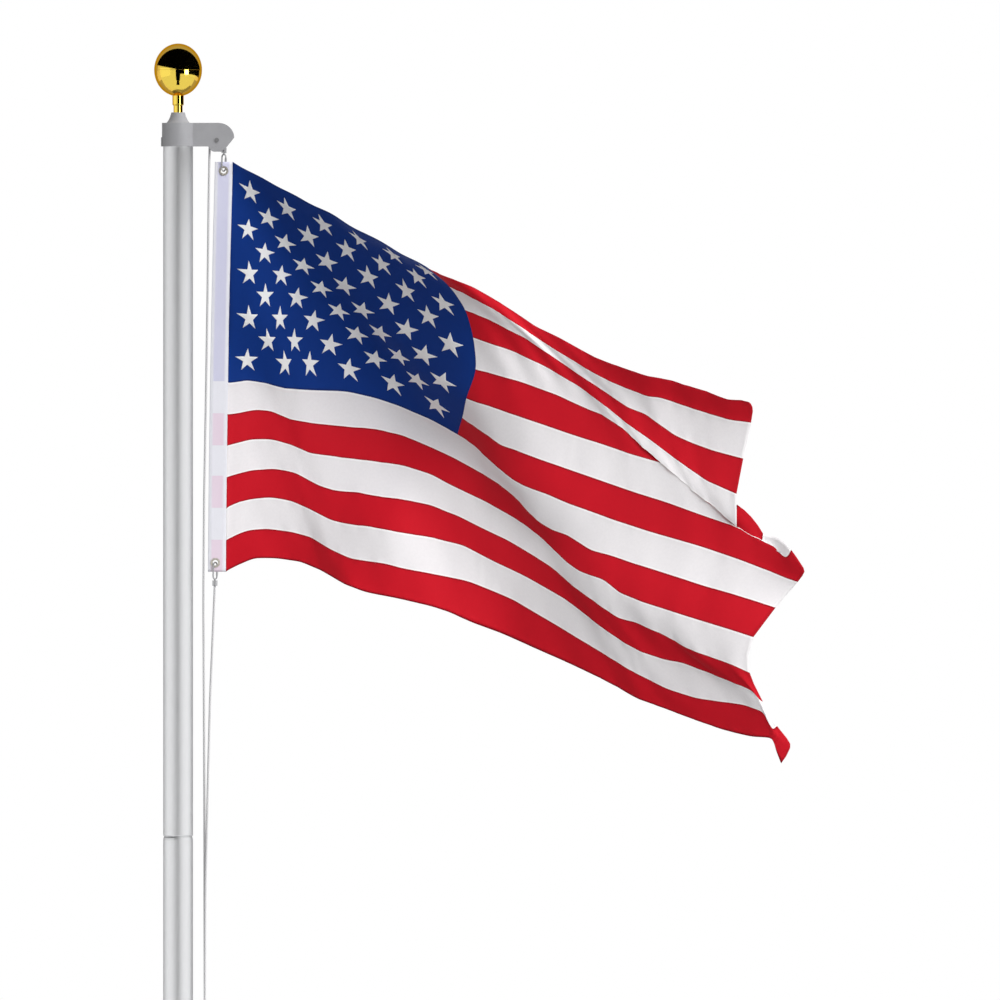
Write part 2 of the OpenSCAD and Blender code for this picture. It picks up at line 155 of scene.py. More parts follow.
def curve_through(at: np.ndarray, stations: tuple[float, ...], values: np.ndarray) -> np.ndarray:
    """Draws smooth curves through values at uneven stations.

    Args:
        at: Where the curves are wanted.
        stations: Where the values stand.
        values: One row for each station, with a column for each curve.

    Returns:
        One row for each wanted place.
    """
    places = np.array(stations, float)
    slopes = np.gradient(values, places, axis=0)
    i = np.clip(np.searchsorted(places, at, side="right") - 1, 0, len(places) - 2)
    step = (places[i + 1] - places[i])[:, None]
    t = ((at - places[i]) / (places[i + 1] - places[i]))[:, None]
    return ((2 * t**3 - 3 * t**2 + 1) * values[i] + (t**3 - 2 * t**2 + t) * step * slopes[i]
            + (3 * t**2 - 2 * t**3) * values[i + 1] + (t**3 - t**2) * step * slopes[i + 1])


def eased(at: np.ndarray, start: float, end: float) -> np.ndarray:
    """Rises smoothly from 0 at the start to 1 at the end."""
    t = np.clip((at - start) / (end - start), 0, 1)
    return t * t * (3 - 2 * t)


class ShaderSheet:
    """A node tree with short calls to place and join nodes."""

    def __init__(self, tree: bpy.types.NodeTree) -> None:
        """Wraps a material's or a group's node tree."""
        self.tree = tree

    def node(self, kind: str, **settings: object) -> bpy.types.Node:
        """Adds a node and sets its properties.

        Args:
            kind: Blender's node type.
            settings: Properties of the node itself.

        Returns:
            The new node.
        """
        made = self.tree.nodes.new(kind)
        for key, value in settings.items():
            setattr(made, key, value)
        return made

    def link(self, source: bpy.types.NodeSocket, target: bpy.types.NodeSocket) -> None:
        """Joins an output to an input."""
        self.tree.links.new(source, target)

    def feed(self, target: bpy.types.NodeSocket, term: object) -> None:
        """Joins an output to an input, or sets the input's own value.

        Args:
            target: The input.
            term: An output, a number or a colour.
        """
        if isinstance(term, bpy.types.NodeSocket):
            self.link(term, target)
        elif isinstance(term, tuple):
            target.default_value = (*term, 1.0)
        else:
            target.default_value = term

    def math(self, operation: str, *terms: object) -> bpy.types.NodeSocket:
        """Adds a Math node fed by sockets or numbers.

        Args:
            operation: Name of the operation.
            terms: Sockets or numbers, in the order of the node's inputs.

        Returns:
            The node's output.
        """
        made = self.node("ShaderNodeMath", operation=operation)
        for target, term in zip(made.inputs, terms):
            self.feed(target, term)
        return made.outputs[0]

    def blend(self, first: bpy.types.NodeSocket, second: bpy.types.NodeSocket,
              share: float) -> bpy.types.NodeSocket:
        """Adds two values, the first by its share and the second by the rest."""
        return self.math("MULTIPLY_ADD", first, share, self.math("MULTIPLY", second, 1 - share))

    def mix(self, factor: bpy.types.NodeSocket, first: object, second: object) -> bpy.types.NodeSocket:
        """Mixes two colours.

        Args:
            factor: How much of the second colour shows, from 0 to 1.
            first: A colour or an output.
            second: A colour or an output.

        Returns:
            The mixed colour.
        """
        made = self.node("ShaderNodeMix", data_type="RGBA")
        self.link(factor, made.inputs["Factor"])
        self.feed(made.inputs["A"], first)
        self.feed(made.inputs["B"], second)
        return made.outputs["Result"]

    def split(self, vector: bpy.types.NodeSocket) -> bpy.types.Node:
        """Splits a vector into its parts.

        Args:
            vector: The vector.

        Returns:
            The node, with the outputs X, Y and Z.
        """
        made = self.node("ShaderNodeSeparateXYZ")
        self.link(vector, made.inputs[0])
        return made

    def ranged(self, value: bpy.types.NodeSocket, low: float, high: float) -> bpy.types.NodeSocket:
        """Maps a value from 0 to 1 on to a range.

        Args:
            value: The value.
            low: What 0 becomes.
            high: What 1 becomes.

        Returns:
            The mapped value.
        """
        made = self.node("ShaderNodeMapRange")
        self.link(value, made.inputs["Value"])
        made.inputs["To Min"].default_value = low
        made.inputs["To Max"].default_value = high
        return made.outputs["Result"]


class Groups:
    """Shader node groups that several finishes share, each built once."""

    made: dict[str, bpy.types.NodeTree] = {}
    grain_scales: dict[str, float] = {"Fine": 1.0, "Broad": 0.06}
    grain_detail: float = 4.0
    thread_half: float = 0.0006
    stitch_waves: float = 1900.0
    stitch_gap: float = -0.4

    @classmethod
    def start(cls, name: str, inputs: dict[str, str], outputs: tuple[str, ...],
              ) -> tuple[ShaderSheet, bpy.types.Node, bpy.types.Node]:
        """Begins a group with named sockets.

        Args:
            name: The group's name.
            inputs: Socket type of each named input.
            outputs: Names of the float outputs.

        Returns:
            The sheet, the group's input node and its output node.
        """
        tree = bpy.data.node_groups.new(name, "ShaderNodeTree")
        for label, kind in inputs.items():
            tree.interface.new_socket(name=label, in_out="INPUT", socket_type=kind)
        for label in outputs:
            tree.interface.new_socket(name=label, in_out="OUTPUT", socket_type="NodeSocketFloat")
        cls.made[name] = tree
        sheet = ShaderSheet(tree)
        return sheet, sheet.node("NodeGroupInput"), sheet.node("NodeGroupOutput")

    @classmethod
    def grain(cls) -> bpy.types.NodeTree:
        """Noise stretched by a vector: fine marks and broad patches, each from 0 to 1.

        Returns:
            The group.
        """
        if "grain" in cls.made:
            return cls.made["grain"]
        sheet, given, out = cls.start(
            "grain", {"Vector": "NodeSocketVector", "Stretch": "NodeSocketVector"}, ("Fine", "Broad"))
        stretched = sheet.node("ShaderNodeVectorMath", operation="MULTIPLY")
        sheet.link(given.outputs["Vector"], stretched.inputs[0])
        sheet.link(given.outputs["Stretch"], stretched.inputs[1])
        for label, scale in cls.grain_scales.items():
            noise = sheet.node("ShaderNodeTexNoise")
            noise.inputs["Scale"].default_value = scale
            noise.inputs["Detail"].default_value = cls.grain_detail
            sheet.link(stretched.outputs[0], noise.inputs["Vector"])
            sheet.link(noise.outputs["Fac"], out.inputs[label])
        return cls.made["grain"]

    @classmethod
    def weave(cls) -> bpy.types.NodeTree:
        """Over and under threads of a plain weave, from a place in metres.

        Returns:
            The group.
        """
        if "weave" in cls.made:
            return cls.made["weave"]
        sheet, given, out = cls.start(
            "weave", {"Vector": "NodeSocketVector", "Threads": "NodeSocketFloat"}, ("Height",))
        split = sheet.split(given.outputs["Vector"])
        turn = sheet.math("MULTIPLY", given.outputs["Threads"], math.pi)
        waves = [sheet.math("SINE", sheet.math("MULTIPLY", split.outputs[axis], turn)) for axis in ("X", "Y")]
        cross = sheet.math("MULTIPLY", waves[0], waves[1])
        sheet.link(sheet.math("MULTIPLY_ADD", cross, 0.5, 0.5), out.inputs["Height"])
        return cls.made["weave"]

    @classmethod
    def stitches(cls) -> bpy.types.NodeTree:
        """Two dashed rows of thread beside every line of an even spacing along Y.

        Returns:
            The group, whose mask shows the thread and whose seam shows the cloth between both rows.
        """
        if "stitches" in cls.made:
            return cls.made["stitches"]
        sheet, given, out = cls.start(
            "stitches",
            {"Vector": "NodeSocketVector", "Spacing": "NodeSocketFloat", "Inset": "NodeSocketFloat"},
            ("Mask", "Seam"))
        split = sheet.split(given.outputs["Vector"])
        spacing = given.outputs["Spacing"]
        rows = sheet.math("DIVIDE", split.outputs["Y"], spacing)
        away = sheet.math("MULTIPLY", sheet.math("PINGPONG", rows, 0.5), spacing)
        off = sheet.math("ABSOLUTE", sheet.math("SUBTRACT", away, given.outputs["Inset"]))
        line = sheet.math("LESS_THAN", off, cls.thread_half)
        wave = sheet.math("SINE", sheet.math("MULTIPLY", split.outputs["X"], cls.stitch_waves))
        dash = sheet.math("GREATER_THAN", wave, cls.stitch_gap)
        sheet.link(sheet.math("MULTIPLY", line, dash), out.inputs["Mask"])
        sheet.link(sheet.math("LESS_THAN", away, given.outputs["Inset"]), out.inputs["Seam"])
        return cls.made["stitches"]


@dataclass(frozen=True)
class Finish:
    """A procedural material: its base values and the steps that every finish shares."""

    name: str
    colour: Colour
    roughness: float
    metallic: float = 0.0

    def start(self) -> tuple[bpy.types.Material, ShaderSheet, bpy.types.Node, bpy.types.Node]:
        """Makes the material with its plain values.

        Returns:
            The material, its sheet, its Principled node and its Texture Coordinate node.
        """
        material = bpy.data.materials.new(self.name)
        material.use_nodes = True
        sheet = ShaderSheet(material.node_tree)
        shader = material.node_tree.nodes["Principled BSDF"]
        shader.inputs["Base Color"].default_value = (*self.colour, 1.0)
        shader.inputs["Roughness"].default_value = self.roughness
        shader.inputs["Metallic"].default_value = self.metallic
        return material, sheet, shader, sheet.node("ShaderNodeTexCoord")

    def group(self, sheet: ShaderSheet, tree: bpy.types.NodeTree, vector: bpy.types.NodeSocket,
              **values: object) -> bpy.types.Node:
        """Places a shared group with its own values.

        Args:
            sheet: The material's sheet.
            tree: The group.
            vector: The place that the group's pattern follows.
            values: Values of the group's other inputs.

        Returns:
            The group's node.
        """
        made = sheet.node("ShaderNodeGroup", node_tree=tree)
        sheet.link(vector, made.inputs["Vector"])
        for label, value in values.items():
            made.inputs[label].default_value = value
        return made

    def shade(self, factor: float) -> Colour:
        """Gives the base colour times a factor, kept below white."""
        return tuple(min(1.0, part * factor) for part in self.colour)

    def rubbed(self, sheet: ShaderSheet, marks: bpy.types.NodeSocket, spread: float) -> bpy.types.NodeSocket:
        """Gives the roughness, changed by marks from 0 to 1 as far as the spread to either side."""
        return sheet.ranged(marks, self.roughness - spread, self.roughness + spread)

    def bump(self, sheet: ShaderSheet, shader: bpy.types.Node, height: bpy.types.NodeSocket,
             depth: float) -> None:
        """Feeds a relief to the shader's normal.

        Args:
            sheet: The material's sheet.
            shader: The Principled node.
            height: The relief's pattern.
            depth: What a height of 1 stands for, in metres.
        """
        made = sheet.node("ShaderNodeBump")
        made.inputs["Distance"].default_value = depth
        sheet.link(height, made.inputs["Height"])
        sheet.link(made.outputs["Normal"], shader.inputs["Normal"])


@dataclass(frozen=True)
class GrainedFinish(Finish):
    """A hard finish with fine marks: drawn metal, cast metal or moulded plastic.

    Edge tints the gloss at grazing angles; a dark edge, as on the satin aluminium, is painted shade along the
    sides. On polished metal, the rim tint is a painted darker amber rim where the surface turns away from the
    view, and turn says how fast it comes in.
    """

    stretch: Triple = (900.0, 900.0, 900.0)
    tone: float = 0.08
    spread: float = 0.08
    broad_share: float = 0.5
    relief: float = 0.00005
    edge: Colour = (1.0, 1.0, 1.0)
    painted_rim_tint: Colour | None = None
    turn: Pair = (-1.0, 2.6)

    def build(self) -> bpy.types.Material:
        """Builds the material with its marks in colour, roughness and relief.

        Returns:
            The material.
        """
        material, sheet, shader, place = self.start()
        grain = self.group(sheet, Groups.grain(), place.outputs["Object"], Stretch=self.stretch)
        face = sheet.mix(grain.outputs["Broad"], self.shade(1 - self.tone), self.shade(1 + self.tone))
        # Painted rim: where the surface turns away from the view, the base colour turns to a darker amber
        # tint.
        if self.painted_rim_tint:
            tilt = sheet.node("ShaderNodeLayerWeight")
            face = sheet.mix(sheet.ranged(tilt.outputs["Facing"], *self.turn), face, self.painted_rim_tint)
        sheet.link(face, shader.inputs["Base Color"])
        rough = sheet.blend(grain.outputs["Broad"], grain.outputs["Fine"], self.broad_share)
        sheet.link(self.rubbed(sheet, rough, self.spread), shader.inputs["Roughness"])
        # Edge tints the gloss at grazing angles; a dark edge paints shade along a rounded part's sides.
        shader.inputs["Specular Tint"].default_value = (*self.edge, 1.0)
        self.bump(sheet, shader, grain.outputs["Fine"], self.relief)
        return material


@dataclass(frozen=True)
class ClothFinish(Finish):
    """Woven nylon with stitched seams at the stripes' spacing, on the cloth's own UV in metres."""

    seam: Colour = (0.9, 0.9, 0.9)
    spacing: float = 0.0697
    inset: float = 0.004
    reach: float = 1.5
    hem: float = 0.008
    threads: float = 900.0
    show_seam: float = 0.8
    show_hem: float = 0.4
    show_stitch: float = 0.3
    stitch_rise: float = 1.5
    marks: Triple = (160.0, 160.0, 160.0)
    weave_share: float = 0.4
    tones: Pair = (0.92, 1.06)
    spread: float = 0.06
    relief: float = 0.00012
    sheen: float = 0.02
    gloss: float = 0.1

    def build(self) -> bpy.types.Material:
        """Builds the material with weave, doubled seams, stitches and faint handling marks.

        Returns:
            The material.
        """
        material, sheet, shader, place = self.start()
        where = place.outputs["UV"]
        split = sheet.split(where)
        turned = sheet.node("ShaderNodeCombineXYZ")
        sheet.link(split.outputs["Y"], turned.inputs["X"])
        sheet.link(split.outputs["X"], turned.inputs["Y"])
        weave = self.group(sheet, Groups.weave(), where, Threads=self.threads)
        sewn = self.group(sheet, Groups.stitches(), where, Spacing=self.spacing, Inset=self.inset)
        hemmed = self.group(sheet, Groups.stitches(), turned.outputs[0], Spacing=self.reach, Inset=self.hem)
        grain = self.group(sheet, Groups.grain(), where, Stretch=self.marks)
        hem = sheet.math("MULTIPLY", hemmed.outputs["Seam"], self.show_hem)
        doubled = sheet.math("MAXIMUM", sewn.outputs["Seam"], hem)
        stitch = sheet.math("MAXIMUM", sewn.outputs["Mask"], hemmed.outputs["Mask"])
        shown = sheet.math("SUBTRACT", doubled, sheet.math("MULTIPLY", stitch, self.show_stitch))
        tone = sheet.blend(weave.outputs["Height"], grain.outputs["Fine"], self.weave_share)
        woven = sheet.mix(tone, *map(self.shade, self.tones))
        cloth = sheet.mix(sheet.math("MULTIPLY", shown, self.show_seam), woven, self.seam)
        sheet.link(cloth, shader.inputs["Base Color"])
        sheet.link(self.rubbed(sheet, grain.outputs["Broad"], self.spread), shader.inputs["Roughness"])
        shader.inputs["Sheen Weight"].default_value = self.sheen
        shader.inputs["Specular IOR Level"].default_value = self.gloss
        height = sheet.math("MULTIPLY_ADD", stitch, self.stitch_rise, weave.outputs["Height"])
        self.bump(sheet, shader, sheet.math("ADD", height, grain.outputs["Fine"]), self.relief)
        return material


@dataclass(frozen=True)
class TapeFinish(Finish):
    """White heading canvas through which the sewn-in cloth shows, on the tape's own UV from 0 to 1."""

    blue: Colour = (0.60, 0.60, 0.80)
    pink: Colour = (0.82, 0.64, 0.76)
    stripes: int = 13
    stripes_below: int = 6
    margin_slope: float = 9.0
    margins: Pair = (-1.1, 7.8)
    show_bands: Pair = (0.5, 1.0)
    marks: Triple = (400.0, 400.0, 120.0)
    tones: Pair = (0.92, 1.04)
    threads: float = 700.0
    relief: float = 0.00015

    def build(self) -> bpy.types.Material:
        """Builds the material with its ghost bands between plain margins and its weave.

        Returns:
            The material.
        """
        material, sheet, shader, place = self.start()
        split = sheet.split(place.outputs["UV"])
        bands = sheet.node("ShaderNodeValToRGB")
        bands.color_ramp.interpolation = "CONSTANT"
        tints = [self.pink if stripe % 2 == 0 else self.colour for stripe in range(self.stripes_below)]
        for number, tint in enumerate([*tints, self.blue]):
            along = number / self.stripes
            if number > 1:
                bands.color_ramp.elements.new(along)
            bands.color_ramp.elements[number].position = along
            bands.color_ramp.elements[number].color = (*tint, 1.0)
        sheet.link(split.outputs["Y"], bands.inputs["Fac"])
        rise = sheet.math("MULTIPLY_ADD", split.outputs["X"], self.margin_slope, self.margins[0])
        fall = sheet.math("MULTIPLY_ADD", split.outputs["X"], -self.margin_slope, self.margins[1])
        inner = sheet.math("MAXIMUM", sheet.math("MINIMUM", sheet.math("MINIMUM", rise, fall), 1.0), 0.0)
        grain = self.group(sheet, Groups.grain(), place.outputs["Object"], Stretch=self.marks)
        shown = sheet.math("MULTIPLY", inner, sheet.ranged(grain.outputs["Broad"], *self.show_bands))
        canvas = sheet.mix(grain.outputs["Fine"], *map(self.shade, self.tones))
        sheet.link(sheet.mix(shown, canvas, bands.outputs["Color"]), shader.inputs["Base Color"])
        metres = sheet.node("ShaderNodeVectorMath", operation="MULTIPLY")
        sheet.link(place.outputs["UV"], metres.inputs[0])
        metres.inputs[1].default_value = (TAPE_WIDTH, HOIST, 0.0)
        weave = self.group(sheet, Groups.weave(), metres.outputs[0], Threads=self.threads)
        height = sheet.math("ADD", weave.outputs["Height"], grain.outputs["Fine"])
        self.bump(sheet, shader, height, self.relief)
        return material


@dataclass(frozen=True)
class BraidFinish(Finish):
    """Braided rope: strands crossing round it, on its UV of turns round and braids along it."""

    strands: int = 4
    marks: Triple = (500.0, 500.0, 500.0)
    strand_share: float = 0.75
    tones: Pair = (0.7, 1.08)
    relief: float = 0.0004

    def build(self) -> bpy.types.Material:
        """Builds the material with crossing strands in colour and relief.

        Returns:
            The material.
        """
        material, sheet, shader, place = self.start()
        split = sheet.split(place.outputs["UV"])
        around = sheet.math("MULTIPLY", split.outputs["X"], 2 * math.pi * self.strands)
        along = sheet.math("MULTIPLY", split.outputs["Y"], 2 * math.pi)
        first = sheet.math("SINE", sheet.math("ADD", around, along))
        second = sheet.math("SINE", sheet.math("SUBTRACT", around, along))
        strand = sheet.math("MULTIPLY_ADD", sheet.math("MAXIMUM", first, second), 0.5, 0.5)
        grain = self.group(sheet, Groups.grain(), place.outputs["Object"], Stretch=self.marks)
        tone = sheet.blend(strand, grain.outputs["Fine"], self.strand_share)
        sheet.link(sheet.mix(tone, *map(self.shade, self.tones)), shader.inputs["Base Color"])
        self.bump(sheet, shader, strand, self.relief)
        return material


class Finishes:
    """Every finish of the flagpole, made once and handed out as materials."""

    def __init__(self) -> None:
        """Builds all materials."""
        wanted: tuple[GrainedFinish | ClothFinish | TapeFinish | BraidFinish, ...] = (
            # The satin aluminium's dark edge tint is painted shade: it darkens the pole's sides where they
            # turn away.
            GrainedFinish("satin_aluminium", (0.73, 0.735, 0.745), 0.50, 1.0, stretch=(1500.0, 1500.0, 9.0),
                          tone=0.02, spread=0.03, relief=0.000006, edge=(0.35, 0.35, 0.36)),
            GrainedFinish("grey_moulding", (0.34, 0.34, 0.355), 0.48, stretch=(700.0, 700.0, 700.0),
                          relief=0.00008),
            GrainedFinish("bright_steel", (0.46, 0.46, 0.47), 0.28, 1.0, stretch=(900.0, 900.0, 300.0)),
            GrainedFinish("white_nylon", (0.74, 0.74, 0.72), 0.42),
            # The polished gold's rim tint paints a darker amber rim on the ball where it turns away from the
            # view.
            GrainedFinish("polished_gold", (0.70, 0.52, 0.08), 0.07, 1.0, stretch=(220.0, 220.0, 220.0),
                          tone=0.05, spread=0.03, relief=0.0, edge=(0.9, 0.6, 0.2), painted_rim_tint=(0.74, 0.42, 0.09)),
            GrainedFinish("black_plastic", (0.02, 0.02, 0.022), 0.5),
            GrainedFinish("dull_steel", (0.22, 0.22, 0.225), 0.55, 0.3),
            GrainedFinish("grommet_brass", (0.74, 0.70, 0.62), 0.5, 1.0),
            BraidFinish("braided_rope", (0.62, 0.62, 0.63), 0.75),
            ClothFinish("blue_cloth", (0.005, 0.035, 0.218), 0.6, seam=(0.007, 0.024, 0.14),
                        spacing=0.4878, reach=0.6, hem=0.004, sheen=0.008, gloss=0.06),
            ClothFinish("red_cloth", (0.56, 0.005, 0.016), 0.6, seam=(0.30, 0.003, 0.01), inset=0.003),
            # The white cloth's faint pink tint is painted light: red light bounced from the red stripes and
            # shining through.
            ClothFinish("white_cloth", (0.84, 0.815, 0.83), 0.62, seam=(0.94, 0.925, 0.925)),
            ClothFinish("star_thread", (0.95, 0.95, 0.96), 0.55, threads=500.0, show_seam=0.0),
            TapeFinish("heading_canvas", (0.84, 0.84, 0.90), 0.75),
        )
        self.materials = {finish.name: finish.build() for finish in wanted}

    def dress(self, piece: bpy.types.Object, name: str) -> None:
        """Gives a piece one finish and no other."""
        piece.data.materials.clear()
        piece.data.materials.append(self.materials[name])


@dataclass(frozen=True)
class Seam:
    """One stripe seam of the hanging flag, in millimetres right of the pole's axis and below the tape's top.

    The hoist part runs from the tape to the canton's edge or the line below it, the fly part from there on.
    A curl goes on with the seam on the strip of the hem that is turned over: where it comes out, and its end.
    """

    row: int
    fly: tuple[Pair, ...]
    hoist: tuple[Pair, ...] = ()
    curl: tuple[Pair, ...] = ()


SEAMS = (
    Seam(0, ((555, 238), (594, 256), (610, 261), (652, 278), (685, 296), (742, 332), (791, 365), (842, 389),
             (910, 427), (934, 438), (979, 455), (1027, 471), (1082, 482), (1151, 502), (1213, 526),
             (1240, 528), (1258, 532)),
         ((121, 2), (338, 117), (555, 238))),
    Seam(1, ((601, 276), (678, 314), (727, 347), (784, 385), (842, 422), (910, 464), (954, 486), (1001, 506),
             (1036, 519), (1065, 519), (1096, 530), (1140, 544), (1182, 557), (1228, 570), (1265, 577))),
    Seam(2, ((638, 327), (700, 354), (771, 391), (842, 440), (910, 486), (954, 515), (996, 544), (1034, 557),
             (1058, 577), (1096, 606), (1135, 623), (1182, 639), (1248, 656))),
    Seam(3, ((654, 389), (740, 418), (813, 453), (884, 495), (939, 537), (987, 577), (1043, 617), (1105, 663),
             (1166, 707), (1197, 720), (1233, 734))),
    Seam(4, ((663, 460), (755, 484), (842, 515), (910, 548), (934, 557), (981, 588), (1027, 630), (1076, 672),
             (1133, 723), (1189, 766), (1233, 806))),
    Seam(5, ((638, 526), (735, 557), (864, 601), (934, 623), (996, 645), (1074, 668), (1133, 717),
             (1189, 758), (1233, 804), (1262, 834), (1290, 854), (1296, 822))),
    Seam(6, ((629, 568), (680, 601), (713, 630), (740, 636), (813, 663), (897, 692), (934, 705), (1012, 732),
             (1089, 756), (1166, 782), (1230, 802), (1295, 836), (1322, 847), (1345, 880), (1354, 858))),
    Seam(7, ((618, 601), (658, 628), (685, 656), (716, 687), (740, 707), (766, 720), (813, 734), (868, 758),
             (939, 782), (963, 791), (1045, 818), (1155, 849), (1246, 880), (1319, 908), (1370, 930)),
         ((110, 492), (150, 482), (194, 490), (234, 502), (293, 506), (371, 507), (437, 522), (492, 541),
          (559, 569), (618, 601))),
    Seam(8, ((610, 654), (671, 687), (716, 712), (744, 738), (773, 774), (797, 800), (824, 815), (857, 824),
             (884, 842), (910, 860), (954, 871), (1001, 886), (1045, 899), (1155, 935), (1246, 961),
             (1319, 983)),
         ((109, 561), (172, 547), (205, 550), (249, 570), (305, 579), (371, 586), (437, 590), (492, 603),
          (559, 631), (610, 654))),
    Seam(9, ((601, 714), (680, 751), (733, 780), (773, 804), (806, 831), (835, 862), (857, 886), (886, 906),
             (939, 922), (972, 953), (1025, 975), (1118, 1003), (1191, 1025), (1270, 1050)),
         ((109, 627), (161, 613), (205, 613), (249, 625), (293, 645), (338, 650), (382, 656), (492, 669),
          (559, 690), (601, 714))),
    Seam(10, ((596, 774), (614, 780), (671, 809), (727, 835), (784, 869), (826, 895), (868, 933), (910, 964),
              (934, 983), (972, 1008), (1007, 1014), (1063, 1041), (1118, 1074), (1173, 1096), (1228, 1114),
              (1261, 1127)),
         ((108, 696), (161, 682), (216, 678), (260, 687), (316, 718), (349, 728), (393, 730), (437, 740),
          (503, 747), (559, 758), (596, 774))),
    Seam(11, ((594, 838), (629, 846), (700, 884), (771, 917), (855, 964), (934, 1025), (983, 1061),
              (1029, 1085), (1080, 1101), (1118, 1105), (1153, 1120), (1228, 1149), (1274, 1171)),
         ((108, 758), (161, 745), (205, 741), (249, 749), (293, 769), (338, 792), (382, 802), (426, 806),
          (492, 820), (559, 829), (594, 838)), ((1283, 1187), (1291, 1193))),
    Seam(12, ((596, 917), (643, 926), (700, 948), (742, 966), (934, 1083), (1007, 1127), (1080, 1165),
              (1140, 1185), (1191, 1191), (1246, 1196), (1294, 1213)),
         ((107, 834), (150, 815), (194, 811), (249, 818), (293, 829), (338, 857), (382, 878), (459, 888),
          (492, 898), (559, 911), (596, 917)), ((1312, 1258), (1322, 1246))),
    Seam(13, ((598, 994), (647, 1017), (713, 1041), (824, 1090), (934, 1140), (1007, 1182), (1118, 1224),
              (1206, 1255), (1264, 1269), (1313, 1272)),
         ((107, 902), (168, 876), (216, 876), (271, 884), (316, 903), (371, 935), (415, 951), (492, 966),
          (559, 982), (598, 994)), ((1320, 1300), (1331, 1328))),
)

# Places of the stars of each row, in the same millimetres. Odd rows have six, even rows five.
STAR_ROWS: tuple[tuple[Pair, ...], ...] = (
    ((161, 66), (243, 104), (324, 139), (404, 172), (479, 208), (550, 239)),
    ((198, 124), (291, 166), (375, 194), (450, 225), (528, 250)),
    ((154, 146), (234, 179), (329, 223), (424, 254), (506, 287), (585, 312)),
    ((190, 199), (276, 228), (366, 276), (468, 316), (554, 340)),
    ((161, 248), (225, 248), (316, 276), (406, 329), (506, 373), (601, 402)),
    ((194, 296), (260, 298), (355, 327), (444, 378), (541, 429)),
    ((159, 347), (223, 347), (296, 347), (395, 378), (488, 429), (579, 486)),
    ((203, 396), (254, 396), (333, 402), (437, 433), (528, 480)),
    ((150, 438), (240, 444), (287, 444), (373, 455), (472, 486), (568, 533)),
)

# The fly edge, as the place down the hoist in stripes and the same millimetres.
FLY_EDGE: tuple[Triple, ...] = (
    (0, 1256, 530), (0.1, 1261, 532), (0.2, 1265, 536), (0.3, 1268, 542), (0.5, 1269, 552), (1, 1265, 577),
    (2, 1248, 656), (3, 1233, 734), (4, 1233, 806), (4.2, 1235, 758), (4.4, 1250, 769), (4.6, 1266, 785),
    (4.8, 1280, 803), (5, 1292, 822), (5.2, 1314, 826), (5.5, 1328, 832), (5.8, 1344, 844), (6, 1354, 857),
    (6.2, 1366, 874), (6.5, 1381, 897), (6.6, 1383, 905), (6.8, 1378, 915), (7, 1368, 928), (8, 1319, 985),
    (9, 1270, 1050), (9.5, 1260, 1090), (10, 1262, 1128), (10.5, 1271, 1152), (11, 1291, 1193),
    (11.5, 1306, 1216), (12, 1322, 1246), (12.3, 1343, 1272), (12.5, 1351, 1285), (12.6, 1351, 1294),
    (12.8, 1342, 1313), (13, 1331, 1328),
)

# Where pieces of one stripe are joined, as the stripe's number from the top and the fraction of the fly.
JOINS = ((6, 0.59), (10, 0.485), (12, 0.455), (12, 0.74))

# Depth of the cloth behind the tape's plane in millimetres, at these fractions of the fly, on these seams.
DEPTH_STATIONS = (0.0, 0.05, 0.1, 0.15, 0.2, 0.25, 0.3, 0.4, 0.5, 0.6, 0.7, 0.8, 0.9, 0.95, 1.0)
DEPTHS: dict[int, tuple[float, ...]] = {
    0: (0, -28, -52, -85, -125, -160, -195, -240, -200, -155, -150, -175, -170, -174, -178),
    1: (0, 8, -24, -58, -90, -120, -148, -192, -186, -145, -150, -155, -150, -155, -160),
    2: (0, 2, 10, -22, -54, -82, -108, -166, -160, -140, -145, -145, -144, -150, -155),
    4: (0, -15, -5, 20, 38, 0, -40, -125, -134, -130, -140, -146, -149, -155, -160),
    5: (0, -20, -10, 15, 40, 55, 10, -105, -125, -128, -139, -146, -148, -146, -140),
    6: (0, 2, 8, 22, 46, 60, 45, -62, -115, -132, -138, -145, -150, -158, -170),
    7: (0, 25, 25, 30, 50, 60, 60, -15, -103, -135, -137, -143, -147, -150, -146),
    9: (0, 22, 28, 22, 22, 20, 15, -30, -60, -100, -135, -150, -158, -165, -170),
    11: (0, 15, 15, 5, -10, -30, -55, -45, -65, -90, -115, -122, -146, -166, -160),
    13: (0, 5, 5, -10, -35, -65, -75, -75, -55, -70, -85, -105, -140, -163, -158),
}


def hoist_offset(down: np.ndarray | float) -> np.ndarray | float:
    """How far the tape's edge lies left of its upper corner, in metres.

    Args:
        down: Fraction of the way down the hoist.

    Returns:
        The offset: the tape leans, and the cloth pulls it into a slight bow.
    """
    return HOIST_LEAN * down + HOIST_BOW * down * (1 - down)


@dataclass(frozen=True)
class Tuck:
    """Cloth of one stripe that is folded away behind its neighbours.

    Its row is the middle of that stripe. It opens and closes along these fractions of the fly.
    """

    row: float
    depth: float
    opens: Pair
    closes: Pair
    steepness: float = 1.0


